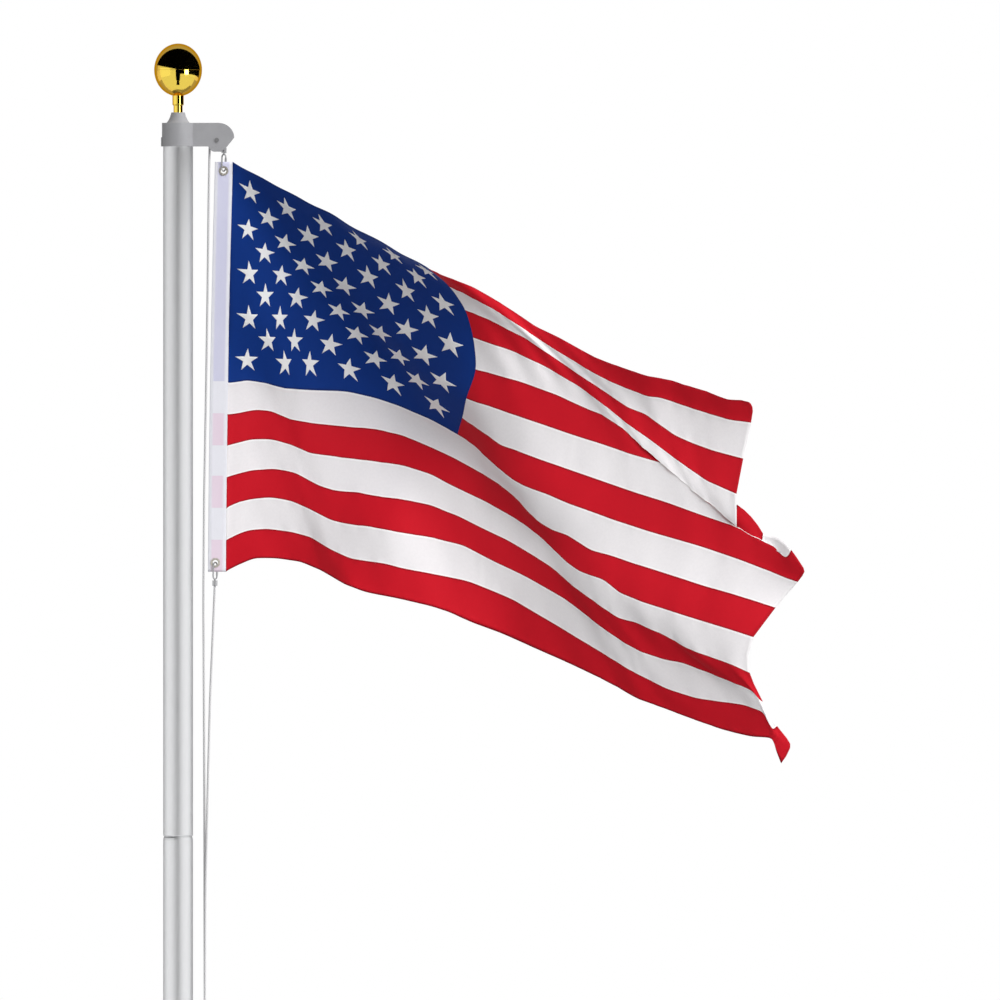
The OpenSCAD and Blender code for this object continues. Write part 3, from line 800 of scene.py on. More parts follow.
@dataclass(frozen=True)
class Ripples:
    """Ranges from which the cloth's small waves are drawn, in metres, radians and radians per metre."""

    seed: int = 7
    phase: Pair = (0.0, 6.28)
    flat_until: float = 0.05
    crinkles: int = 14
    crinkle_rise: float = 0.0004
    crinkle_length: Pair = (0.07, 0.2)
    crinkle_lean: Pair = (-0.9, 0.3)
    patch_across: Pair = (4.0, 9.0)
    patch_down: Pair = (5.0, 11.0)
    puckers: int = 4
    pucker_rise: float = 0.00025
    pucker_length: Pair = (0.02, 0.05)
    pucker_width: float = 0.014
    pucker_step: float = 9.0

    def draw(self, across: np.ndarray, down: np.ndarray, seam: np.ndarray, near: np.ndarray) -> np.ndarray:
        """Draws crinkles all over the cloth and puckers along its seams.

        Args:
            across: Metres from the tape.
            down: Metres from the top edge.
            seam: Number of the seam that is nearest.
            near: How strongly that seam puckers the cloth, from 0 to 1.

        Returns:
            The rise in metres.
        """
        random = np.random.default_rng(self.seed)
        crinkle = np.zeros_like(across + down)
        for _ in range(self.crinkles):
            length = random.uniform(*self.crinkle_length)
            lean = random.uniform(*self.crinkle_lean)
            phase = random.uniform(*self.phase)
            wave = (across * math.cos(lean) + down * math.sin(lean)) / length
            patch = across * random.uniform(*self.patch_across) + down * random.uniform(*self.patch_down)
            crinkle += (0.5 + 0.5 * np.sin(patch + phase)) * np.sin(wave * 2 * math.pi + phase)
        pucker = np.zeros_like(crinkle)
        for _ in range(self.puckers):
            length = random.uniform(*self.pucker_length)
            phase = random.uniform(*self.phase)
            pucker += np.sin(across / length * 2 * math.pi + phase + self.pucker_step * seam)
        ease = np.clip(across / self.flat_until, 0, 1)
        return (crinkle * self.crinkle_rise + pucker * near * self.pucker_rise) * ease


@dataclass
class Flag:
    """The hanging flag: one sheet of sewn stripes and canton, and the stars on both of its faces.

    Blurs are a share of the fly and a share of a stripe. Places along the fly are fractions of it.
    """

    hoist: float = HOIST
    fly: float = 1.5
    canton: float = 0.4
    stripes: int = 13
    canton_stripes: int = 7
    columns: int = 200
    rows_per_stripe: int = 10
    pleat: Tuck = Tuck(4.5, 0.016, (0.70, 0.80), (0.93, 0.985))
    pocket: Tuck = Tuck(5.5, 0.022, (0.86, 0.90), (0.95, 0.97), 3.0)
    curl_from: float = 0.95
    curl_out: float = 0.972
    slack_gain: float = 0.7
    slack_width: float = 0.048
    slack_at: float = 0.25
    slack_drift: float = 0.012
    line_samples: int = 200
    line_blur: Pair = (0.006, 0.20)
    depth_blur: Pair = (0.012, 0.3)
    crisp_rows: float = 1.5
    crisp_from: Pair = (0.58, 0.68)
    edge_from: float = 0.955
    hoist_until: float = 0.02
    thickness: float = 0.0009
    seam_rise: float = 0.0006
    seam_width: float = 0.005
    hem: float = 0.014
    ripples: Ripples = Ripples()
    star_steps: int = 12
    star_size: float = 0.0616
    star_rise: float = 0.0011
    star_rings: tuple[Pair, ...] = ((0.45, 1.0), (0.85, 0.85), (1.0, 0.6), (1.03, -0.3))
    star_outline: tuple[float, ...] = (1.0, 0.526, 0.382, 0.526)
    star_tips: int = 5
    grid: np.ndarray = field(default_factory=lambda: np.zeros((0, 0, 3)))
    normals: np.ndarray = field(default_factory=lambda: np.zeros((0, 0, 3)))

    @property
    def rows(self) -> int:
        """Number of grid steps down the hoist."""
        return self.stripes * self.rows_per_stripe

    def hoist_line(self, top: Vector) -> np.ndarray:
        """Places of the grid's first column, along the tape's edge.

        Args:
            top: Upper corner of the tape at the cloth.

        Returns:
            One (x, z) row for each grid row.
        """
        down = np.linspace(0, 1, self.rows + 1)
        return np.stack([top.x - hoist_offset(down), top.z - self.hoist * down], axis=1)

    def guide(self, points: tuple[Pair, ...], first: float, last: float,
              slack: float | None = None) -> np.ndarray:
        """Resamples a seam line by the fly's fraction.

        Args:
            points: The line in millimetres.
            first: Fly fraction at its start.
            last: Fly fraction at its end.
            slack: Distance from the pole's axis where a fold takes up more cloth, if any.

        Returns:
            Rows of fly fraction, x and drop, the last two in metres.
        """
        line = np.array(points, float) * MM
        dense = np.linspace(0, 1, self.line_samples)
        steps = np.linspace(0, 1, len(line))
        x = np.interp(dense, steps, line[:, 0])
        drop = np.interp(dense, steps, line[:, 1])
        run = np.hypot(np.diff(x), np.diff(drop))
        if slack is not None:
            run = run * (1 + self.slack_gain * np.exp(-((x[1:] - slack) / self.slack_width) ** 2))
        along = np.concatenate([[0], np.cumsum(run)])
        return np.stack([first + (last - first) * along / along[-1], x, drop], axis=1)

    def star_places(self, number: int) -> tuple[float, list[float]]:
        """Says where a row of stars stands on the flat canton.

        Args:
            number: The row, counted from 1 at the top.

        Returns:
            Its place down the hoist in stripes, and the fly fractions of its stars.
        """
        down = self.canton_stripes / (len(STAR_ROWS) + 1) * number
        first = 1 if number % 2 else 2
        count = len(STAR_ROWS[number - 1])
        return down, [self.canton * (first + 2 * i) / self.star_steps for i in range(count)]

    def lines(self, top: Vector) -> list[tuple[float, np.ndarray]]:
        """Collects every guide line with its place down the hoist, in stripes.

        Args:
            top: Upper corner of the tape at the cloth.

        Returns:
            Pairs of the place in stripes and the rows of fly fraction, x and drop.
        """
        found: list[tuple[float, np.ndarray]] = []
        edge_rows = [seam.row for seam in SEAMS]
        edge = np.array([seam.fly[0] for seam in SEAMS], float) * MM
        for seam in SEAMS:
            part = self.guide(seam.fly, self.canton, self.curl_from if seam.curl else 1.0)
            if seam.curl:
                turned = [(u, x * MM, z * MM) for u, (x, z) in zip((self.curl_out, 1.0), seam.curl)]
                part = np.concatenate([part, turned])
            if seam.hoist:
                below = seam.row - self.canton_stripes
                fold = self.slack_at + self.slack_drift * below if seam.row else None
                part = np.concatenate([self.guide(seam.hoist, 0.0, self.canton, fold)[:-1], part])
            found.append((float(seam.row), part))
        for number, places in enumerate(STAR_ROWS, 1):
            down, fractions = self.star_places(number)
            start = (0.0, top.x - hoist_offset(down / self.stripes), self.hoist * down / self.stripes)
            end = (self.canton, *(np.interp(down, edge_rows, edge[:, i]) for i in (0, 1)))
            middle = [(u, x * MM, z * MM) for u, (x, z) in zip(fractions, places)]
            found.append((down, np.array([start, *middle, end])))
        return sorted(found, key=lambda item: item[0])

    def blurred(self, grid: np.ndarray, blur: Pair) -> np.ndarray:
        """Blurs a grid by a share of the fly along its rows and a share of a stripe down its columns."""
        return smoothed(smoothed(grid, blur[0] * self.columns, 1), blur[1] * self.rows_per_stripe, 0)

    def depth(self) -> np.ndarray:
        """Works out the depth of the cloth behind the tape's plane, with its pleat and pocket.

        Returns:
            The depth of every grid point in metres.
        """
        across = np.linspace(0, 1, self.columns + 1)
        down = np.linspace(0, self.stripes, self.rows + 1)
        stored = np.array(list(DEPTHS.values()), float).T * MM
        by_seam = curve_through(across, DEPTH_STATIONS, stored)
        grid = curve_through(down, tuple(DEPTHS), by_seam.T)
        grid = self.blurred(grid, self.depth_blur)
        for tuck in (self.pleat, self.pocket):
            opening = eased(across, *tuck.opens) * (1 - eased(across, *tuck.closes))
            fold = np.clip(tuck.steepness * (1 - 2 * np.abs(down - tuck.row)), 0, 1)
            grid = grid + tuck.depth * fold[:, None] * opening[None, :]
        return grid

    def shape(self, top: Vector) -> None:
        """Lays the grid of the sheet along its guide lines and depths.

        Args:
            top: Upper corner of the tape at the cloth.
        """
        across = np.linspace(0, 1, self.columns + 1)
        down = np.linspace(0, self.stripes, self.rows + 1)
        lines = self.lines(top)
        flat = np.zeros((self.rows + 1, self.columns + 1, 2))
        for column, u in enumerate(across):
            live = [(k, line) for k, line in lines
                    if line[0, 0] <= u + SAME_PLACE and line[-1, 0] >= u - SAME_PLACE]
            places = [k for k, _ in live]
            for part in (0, 1):
                values = [np.interp(u, line[:, 0], line[:, part + 1]) for _, line in live]
                flat[:, column, part] = np.interp(down, places, values)
        soft = self.blurred(flat, self.line_blur)
        pleated = np.clip(self.crisp_rows - np.abs(down - self.pleat.row), 0, 1)
        crisp = pleated[:, None] * eased(across, *self.crisp_from)[None, :]
        flat = soft + (flat - soft) * crisp[:, :, None]
        edge = np.array(FLY_EDGE, float)
        fly_edge = np.stack([np.interp(down, edge[:, 0], edge[:, i] * MM) for i in (1, 2)], axis=1)
        pull = eased(across, self.edge_from, 1.0)[None, :, None]
        flat += (fly_edge - flat[:, -1])[:, None, :] * pull
        ease = np.clip(across / self.hoist_until, 0, 1)[None, :, None]
        hoist = self.hoist_line(top)
        flat[:, :, 1] = top.z - flat[:, :, 1]
        flat = hoist[:, None, :] * (1 - ease) + flat * ease
        self.grid = np.stack([flat[:, :, 0], self.depth(), flat[:, :, 1]], axis=2)
        self.find_normals()
        self.grid += self.normals * self.relief()[:, :, None]
        self.find_normals()

    def find_normals(self) -> None:
        """Works out the sheet's normals, towards the viewer."""
        along = np.gradient(self.grid, axis=1)
        down = np.gradient(self.grid, axis=0)
        cross = np.cross(along, -down)
        cross /= np.linalg.norm(cross, axis=2, keepdims=True) + NO_LENGTH
        self.normals = cross

    def relief(self) -> np.ndarray:
        """Works out the small relief of the sheet: raised seams, hems, puckers and crinkles.

        Returns:
            The rise of every grid point towards the viewer, in metres.
        """
        across = np.linspace(0, 1, self.columns + 1)[None, :] * self.fly
        down = np.linspace(0, self.hoist, self.rows + 1)[:, None]
        pitch = self.hoist / self.stripes
        away = np.abs((down + pitch / 2) % pitch - pitch / 2)
        sewn = (across >= self.canton * self.fly) | (down >= (self.canton_stripes - 0.5) * pitch)
        seam = np.exp(-(away / self.seam_width) ** 2) * sewn
        hem = (across > self.fly - self.hem) * 1.0
        for stripe, u in JOINS:
            on_stripe = (down > (stripe - 1) * pitch) & (down < stripe * pitch)
            hem = hem + on_stripe * np.exp(-((across - u * self.fly) / self.seam_width) ** 2)
        near = np.exp(-(away / self.ripples.pucker_width) ** 2) * sewn
        return (seam + hem) * self.seam_rise + self.ripples.draw(across, down, np.round(down / pitch), near)

    def at(self, u: float, k: float) -> tuple[np.ndarray, np.ndarray]:
        """Finds a place on the sheet.

        Args:
            u: Fraction of the fly.
            k: Place down the hoist in stripes.

        Returns:
            The point and the normal there.
        """
        column, row = u * self.columns, k * self.rows_per_stripe
        i, j = min(int(column), self.columns - 1), min(int(row), self.rows - 1)
        s, t = column - i, row - j
        weights = ((1 - s) * (1 - t), s * (1 - t), (1 - s) * t, s * t)
        cells = ((j, i), (j, i + 1), (j + 1, i), (j + 1, i + 1))
        point = sum(w * self.grid[c] for w, c in zip(weights, cells))
        normal = sum(w * self.normals[c] for w, c in zip(weights, cells))
        return point, normal / np.linalg.norm(normal)

    def build_cloth(self, finishes: Finishes) -> bpy.types.Object:
        """Makes the sheet with its stripes and canton, and gives it its thickness.

        Args:
            finishes: The materials.

        Returns:
            The sheet.
        """
        wide = self.columns + 1
        faces = [(j * wide + i, (j + 1) * wide + i, (j + 1) * wide + i + 1, j * wide + i + 1)
                 for j in range(self.rows) for i in range(self.columns)]
        piece = mesh_piece("flag_cloth", self.grid.reshape(-1, 3), faces)
        mesh = piece.data
        layer = mesh.uv_layers.new(name="cloth")
        for loop in mesh.loops:
            row, column = divmod(loop.vertex_index, wide)
            layer.data[loop.index].uv = (column / self.columns * self.fly, row / self.rows * self.hoist)
        for name in ("red_cloth", "white_cloth", "blue_cloth"):
            mesh.materials.append(finishes.materials[name])
        for number, polygon in enumerate(mesh.polygons):
            row, column = divmod(number, self.columns)
            stripe = row // self.rows_per_stripe
            in_canton = stripe < self.canton_stripes and column < self.canton * self.columns
            polygon.material_index = 2 if in_canton else stripe % 2
        folds = [int(k * self.rows_per_stripe) for k in (self.pleat.row - 0.5, self.pleat.row + 0.5)]
        for edge in mesh.edges:
            ends = [divmod(vertex, wide) for vertex in edge.vertices]
            edge.use_edge_sharp = all(row in folds and column > self.crisp_from[1] * self.columns
                                      for row, column in ends)
        solid = piece.modifiers.new("thickness", "SOLIDIFY")
        solid.thickness = self.thickness
        solid.offset = 0.0
        apply_modifiers(piece)
        return piece

    def star_patch(self, u: float, k: float, side: int, start: int,
                   ) -> tuple[list[np.ndarray], list[tuple[int, ...]]]:
        """Makes one embroidered star that follows the cloth.

        Args:
            u: Fly fraction of its centre.
            k: Place of its centre in stripes.
            side: 1 on the near face, -1 on the far face.
            start: Number of points made before it.

        Returns:
            Its points and faces.
        """
        radius = self.star_size * self.hoist / 2
        outline = self.star_outline * self.star_tips
        count = len(outline)
        centre, normal = self.at(u, k)
        points = [centre + side * normal * self.star_rise]
        for reach, rise in self.star_rings:
            for i, out in enumerate(outline):
                angle = 2 * math.pi * i / count
                away = radius * reach * out
                spot, lift = self.at(u + away * math.sin(angle) / self.fly,
                                     k - away * math.cos(angle) / self.hoist * self.stripes)
                points.append(spot + side * lift * (self.star_rise * rise + self.thickness / 2))
        faces = []
        for i in range(count):
            nxt = (i + 1) % count
            wedge = [start, start + 1 + nxt, start + 1 + i]
            faces.append(tuple(wedge if side > 0 else wedge[::-1]))
            for ring in range(len(self.star_rings) - 1):
                a, b = start + 1 + ring * count, start + 1 + (ring + 1) * count
                quad = [a + i, a + nxt, b + nxt, b + i]
                faces.append(tuple(quad if side > 0 else quad[::-1]))
        return points, faces

    def build_stars(self, finishes: Finishes) -> bpy.types.Object:
        """Makes the stars of both faces as one piece.

        Args:
            finishes: The materials.

        Returns:
            The piece.
        """
        points: list[np.ndarray] = []
        faces: list[tuple[int, ...]] = []
        for side in (1, -1):
            for number in range(1, len(STAR_ROWS) + 1):
                down, fractions = self.star_places(number)
                for u in fractions:
                    new_points, new_faces = self.star_patch(u, down, side, len(points))
                    points += new_points
                    faces += new_faces
        piece = mesh_piece("flag_stars", np.array(points), faces)
        piece.data.uv_layers.new(name="cloth")
        finishes.dress(piece, "star_thread")
        return piece


@dataclass
class HeadingTape:
    """The doubled canvas tape on the hoist, with folded ends and puckered stitching.

    Stitch rows, folded ends and edges are fractions of the width or the hoist. A ripple is its rise and its
    waves down and across. The rises of folds and ripples are millimetres.
    """

    width: float = TAPE_WIDTH
    hoist: float = HOIST
    half: float = 0.0013
    hole: float = 0.0073
    hole_sides: int = 40
    punch_depth: float = 0.02
    columns: int = 20
    rows: int = 150
    stitch_rows: Pair = (0.08, 0.92)
    stitch_width: float = 0.05
    stitch_pull: float = 0.3
    folded_end: float = 0.022
    fold_rise: float = 0.25
    ripples: tuple[Triple, ...] = ((0.25, 150.0, 5.0), (0.2, 61.0, 2.0))
    ripple_rise: float = 0.4
    edge_slope: float = 6.0
    edge_half: float = 0.3

    def depth(self, u: float, v: float, side: int) -> float:
        """Works out how far one face of the tape lies from its middle plane.

        Args:
            u: Fraction of the width.
            v: Fraction of the hoist.
            side: -1 on the near face, 1 on the far face.

        Returns:
            The depth in metres.
        """
        sewn = sum(math.exp(-((u - row) / self.stitch_width) ** 2) for row in self.stitch_rows)
        edge = min(1.0, self.edge_slope * min(u, 1 - u) + self.edge_half)
        body = self.half * (1 - self.stitch_pull * sewn) * edge
        fold = self.fold_rise if min(v, 1 - v) < self.folded_end else 0.0
        ripple = sum(rise * math.sin(v * down + u * across) for rise, down, across in self.ripples)
        return side * body + (self.ripple_rise * ripple + side * fold) * MM

    def build(self, finishes: Finishes) -> bpy.types.Object:
        """Makes the tape where its solid is.

        Args:
            finishes: The materials.

        Returns:
            The tape.
        """
        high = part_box("flag_heading")[1]
        points, faces = [], []
        wide = self.columns + 1
        count = wide * (self.rows + 1)
        for side in (-1, 1):
            for j in range(self.rows + 1):
                v = j / self.rows
                for i in range(wide):
                    u = i / self.columns
                    x = high.x - hoist_offset(v) - (1 - u) * self.width
                    points.append((x, self.depth(u, v, side), high.z - self.hoist * v))
        for side in (0, 1):
            for j in range(self.rows):
                for i in range(self.columns):
                    a = side * count + j * wide + i
                    quad = (a, a + wide, a + wide + 1, a + 1)
                    faces.append(quad if side == 0 else quad[::-1])
        top_and_right = [(0, i) for i in range(wide)] + [(j, wide - 1) for j in range(1, self.rows + 1)]
        bottom = [(self.rows, i) for i in range(wide - 2, -1, -1)]
        rim = top_and_right + bottom + [(j, 0) for j in range(self.rows - 1, 0, -1)]
        for (j0, i0), (j1, i1) in zip(rim, rim[1:] + rim[:1]):
            a, b = j0 * wide + i0, j1 * wide + i1
            faces.append((a, b, b + count, a + count))
        piece = mesh_piece("heading_tape", np.array(points), faces)
        layer = piece.data.uv_layers.new(name="tape")
        for loop in piece.data.loops:
            row, column = divmod(loop.vertex_index % count, wide)
            layer.data[loop.index].uv = (column / self.columns, 1 - row / self.rows)
        finishes.dress(piece, "heading_canvas")
        for grommet in ("top_grommet", "bottom_grommet"):
            self.punch(piece, grommet)
        return piece

    def punch(self, piece: bpy.types.Object, grommet: str) -> None:
        """Cuts the hole for a grommet through the tape.

        Args:
            piece: The tape.
            grommet: The node that sits in the hole.
        """
        low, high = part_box(grommet)
        middle = (low + high) / 2
        deselect_all()
        bpy.ops.mesh.primitive_cylinder_add(
            vertices=self.hole_sides, radius=self.hole, depth=self.punch_depth, location=middle,
            rotation=(math.pi / 2, 0, 0))
        cutter = bpy.context.object
        bpy.ops.object.transform_apply(location=True, rotation=True, scale=True)
        cut = piece.modifiers.new("hole", "BOOLEAN")
        cut.operation = "DIFFERENCE"
        cut.object = cutter
        apply_modifiers(piece)
        bpy.data.objects.remove(cutter)


@dataclass
class Halyard:
    """The rope from the upper swivel over the sheave, down to the cleat and back up to the lower swivel.

    Both runs are points of height and distance from the pole's axis. They pass side_z a little apart, at
    side_y to either side, and spread from there to the cleat's stem.
    """

    radius: float = 0.0025
    sides: int = 14
    hitch_segments: int = 48
    sheave_turn: float = 0.0155
    sheave_step: int = 9
    wrap_step: int = 10
    gap: float = 0.0003
    stem: float = 0.009
    cleat_z: float = 1.33
    wrap_x: float = 0.058
    cleat_lead: float = 0.08
    side_z: float = 3.7
    side_y: float = 0.004
    sheave_lead: float = 0.06
    top_lead: float = 0.005
    low_lead: float = 0.015
    upper_points: int = 40
    lower_points: int = 24
    run: tuple[Pair, ...] = ((1.33, 0.058), (3.75, 0.059), (4.195, 0.058), (4.64, 0.056), (4.86, 0.0575),
                             (5.08, 0.0615), (5.3, 0.065), (5.52, 0.0675), (5.653, 0.07))
    back: tuple[Pair, ...] = ((1.33, 0.058), (3.75, 0.059), (3.975, 0.06), (4.195, 0.065), (4.415, 0.0705),
                              (4.6719, 0.0813))
    top_end: Triple = (0.1015, 0.0, 5.6321)
    low_end: Triple = (0.0813, 0.0, 4.6719)

    @property
    def braid(self) -> float:
        """Length of rope in which its strands cross once."""
        return 4 * self.radius

    def leg(self, run: tuple[Pair, ...], heights: Pair, sideways: Pair, count: int) -> list[Triple]:
        """Lists evenly spaced points along part of a run.

        Args:
            run: The run's points of height and distance from the pole's axis.
            heights: Height of the part's first and last point.
            sideways: Sideways place of the part's first and last point.
            count: Number of points.

        Returns:
            The points in metres.
        """
        places = np.array(run)
        heights_between = np.linspace(*heights, count)
        distances = np.interp(heights_between, places[:, 0], places[:, 1])
        return list(zip(distances, np.linspace(*sideways, count), heights_between))

    def route(self) -> np.ndarray:
        """Lists the points along the rope's middle.

        Returns:
            One row for each point, in metres.
        """
        low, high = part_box("sheave")
        middle = (low + high) / 2
        turn = self.stem + self.radius + self.gap
        foot = self.cleat_z + self.cleat_lead
        points = [self.top_end, (self.top_end[0], 0.0, self.top_end[2] + self.top_lead)]
        for angle in np.radians(np.arange(0, 181, self.sheave_step)):
            out, up = self.sheave_turn * math.cos(angle), self.sheave_turn * math.sin(angle)
            points.append((middle.x + out, 0.0, middle.z + up))
        below = middle.z - self.sheave_lead
        points += self.leg(self.run, (below, self.side_z), (0.0, self.side_y), self.upper_points)
        points += self.leg(self.run, (self.side_z, foot), (self.side_y, turn), self.lower_points)[1:]
        for angle in np.radians(np.arange(0, -181, -self.wrap_step)):
            points.append((self.wrap_x, turn * math.cos(angle), self.cleat_z + turn * math.sin(angle)))
        points += self.leg(self.back, (foot, self.side_z), (-turn, -self.side_y), self.lower_points)
        lead_z = self.low_end[2] - self.low_lead
        points += self.leg(self.back, (self.side_z, lead_z), (-self.side_y, 0.0), self.lower_points)[1:]
        points.append(self.low_end)
        return np.array(points, float)

    def build_rope(self, finishes: Finishes) -> bpy.types.Object:
        """Sweeps the rope along its route with a UV of turn and length.

        Args:
            finishes: The materials.

        Returns:
            The rope.
        """
        route = self.route()
        run = np.concatenate([[0], np.cumsum(np.linalg.norm(np.diff(route, axis=0), axis=1))])
        heading = np.gradient(route, axis=0)
        heading /= np.linalg.norm(heading, axis=1, keepdims=True)
        points, faces, uvs = [], [], []
        side = np.array([0.0, 1.0, 0.0])
        for place, ahead in zip(route, heading):
            side = side - ahead * float(side @ ahead)
            side /= np.linalg.norm(side)
            other = np.cross(ahead, side)
            for s in range(self.sides):
                angle = 2 * math.pi * s / self.sides
                points.append(place + self.radius * (math.cos(angle) * side + math.sin(angle) * other))
        for i in range(len(route) - 1):
            for s in range(self.sides):
                nxt = (s + 1) % self.sides
                a, b = i * self.sides, (i + 1) * self.sides
                faces.append((a + s, a + nxt, b + nxt, b + s))
                low, high = run[i] / self.braid, run[i + 1] / self.braid
                uvs += [(s / self.sides, low), ((s + 1) / self.sides, low),
                        ((s + 1) / self.sides, high), (s / self.sides, high)]
        last = (len(route) - 1) * self.sides
        faces.append(tuple(range(self.sides - 1, -1, -1)))
        faces.append(tuple(range(last, last + self.sides)))
        uvs += [(0.5, 0.5)] * (2 * self.sides)
        piece = mesh_piece("halyard_rope", np.array(points), faces)
        layer = piece.data.uv_layers.new(name="rope")
        for loop, uv in zip(layer.data, uvs):
            loop.uv = uv
        finishes.dress(piece, "braided_rope")
        return piece

    def build_hitch(self, finishes: Finishes) -> bpy.types.Object:
        """Models the two turns of rope that lie round the cleat's stem.

        Args:
            finishes: The materials.

        Returns:
            Both turns as one piece.
        """
        low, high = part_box("halyard_hitch")
        middle = (low + high) / 2
        turn = (high.z - low.z) / 2 - self.radius
        rings = []
        for x in (low.x + self.radius, high.x - self.radius):
            deselect_all()
            bpy.ops.mesh.primitive_torus_add(
                major_radius=turn, minor_radius=self.radius, major_segments=self.hitch_segments,
                minor_segments=self.sides, location=(x, middle.y, middle.z), rotation=(0, math.pi / 2, 0),
                generate_uvs=True)
            ring = bpy.context.object
            for loop in ring.data.uv_layers.active.data:
                loop.uv = (loop.uv.y, loop.uv.x * 2 * math.pi * turn / self.braid)
            rings.append(ring)
        deselect_all()
        for ring in rings:
            ring.select_set(True)
        bpy.context.view_layer.objects.active = rings[0]
        bpy.ops.object.join()
        bpy.ops.object.transform_apply(location=True, rotation=True, scale=True)
        bpy.ops.object.shade_smooth()
        piece = bpy.context.object
        piece.name = "halyard_turns"
        finishes.dress(piece, "braided_rope")
        return piece


@dataclass
class BallFinial:
    """The polished hollow ball, a smooth oval with a fine bead where its halves meet."""

    bead: float = 0.00025
    bead_sides: int = 8
    neck: float = 0.0128
    segments: int = 160

    def build(self, finishes: Finishes) -> bpy.types.Object:
        """Models the ball where its two solid halves are.

        Args:
            finishes: The materials.

        Returns:
            The ball.
        """
        join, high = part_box("ball_upper_half")
        radius = (high.x - join.x) / 2
        tall = high.z - join.z
        deselect_all()
        bpy.ops.mesh.primitive_torus_add(
            major_radius=radius, minor_radius=self.bead, major_segments=self.segments,
            minor_segments=self.bead_sides, location=(0, 0, join.z))
        bead = bpy.context.object
        deselect_all()
        bpy.ops.mesh.primitive_uv_sphere_add(
            segments=self.segments, ring_count=self.segments // 2, radius=radius, location=(0, 0, join.z))
        ball = bpy.context.object
        ball.scale = (1.0, 1.0, tall / radius)
        bpy.ops.object.transform_apply(location=True, rotation=True, scale=True)
        bpy.ops.object.mode_set(mode="EDIT")
        bpy.ops.mesh.select_all(action="SELECT")
        foot = join.z - tall * math.sqrt(1 - (self.neck / radius) ** 2)
        bpy.ops.mesh.bisect(plane_co=(0, 0, foot), plane_no=(0, 0, 1), clear_inner=True)
        bpy.ops.object.mode_set(mode="OBJECT")
        bead.select_set(True)
        bpy.context.view_layer.objects.active = ball
        bpy.ops.object.join()
        bpy.ops.object.transform_apply(location=True, rotation=True, scale=True)
        bpy.ops.object.shade_smooth()
        ball.name = "finial_ball"
        finishes.dress(ball, "polished_gold")
        return ball


# The finish of every frame node that keeps its own shape.
NODE_FINISHES = {
    "butt_plug": "black_plastic",
    "bottom_section": "satin_aluminium",
    "lower_middle_section": "satin_aluminium",
    "upper_middle_section": "satin_aluminium",
    "top_section": "satin_aluminium",
    "truck": "grey_moulding",
    "set_screw": "bright_steel",
    "sheave": "white_nylon",
    "sheave_pin": "dull_steel",
    "finial_rod": "polished_gold",
    "cleat": "satin_aluminium",
    "cleat_screws": "bright_steel",
    "top_swivel": "bright_steel",
    "bottom_swivel": "bright_steel",
    "top_snap_hook": "bright_steel",
    "bottom_snap_hook": "bright_steel",
    "top_grommet": "grommet_brass",
    "bottom_grommet": "grommet_brass",
}


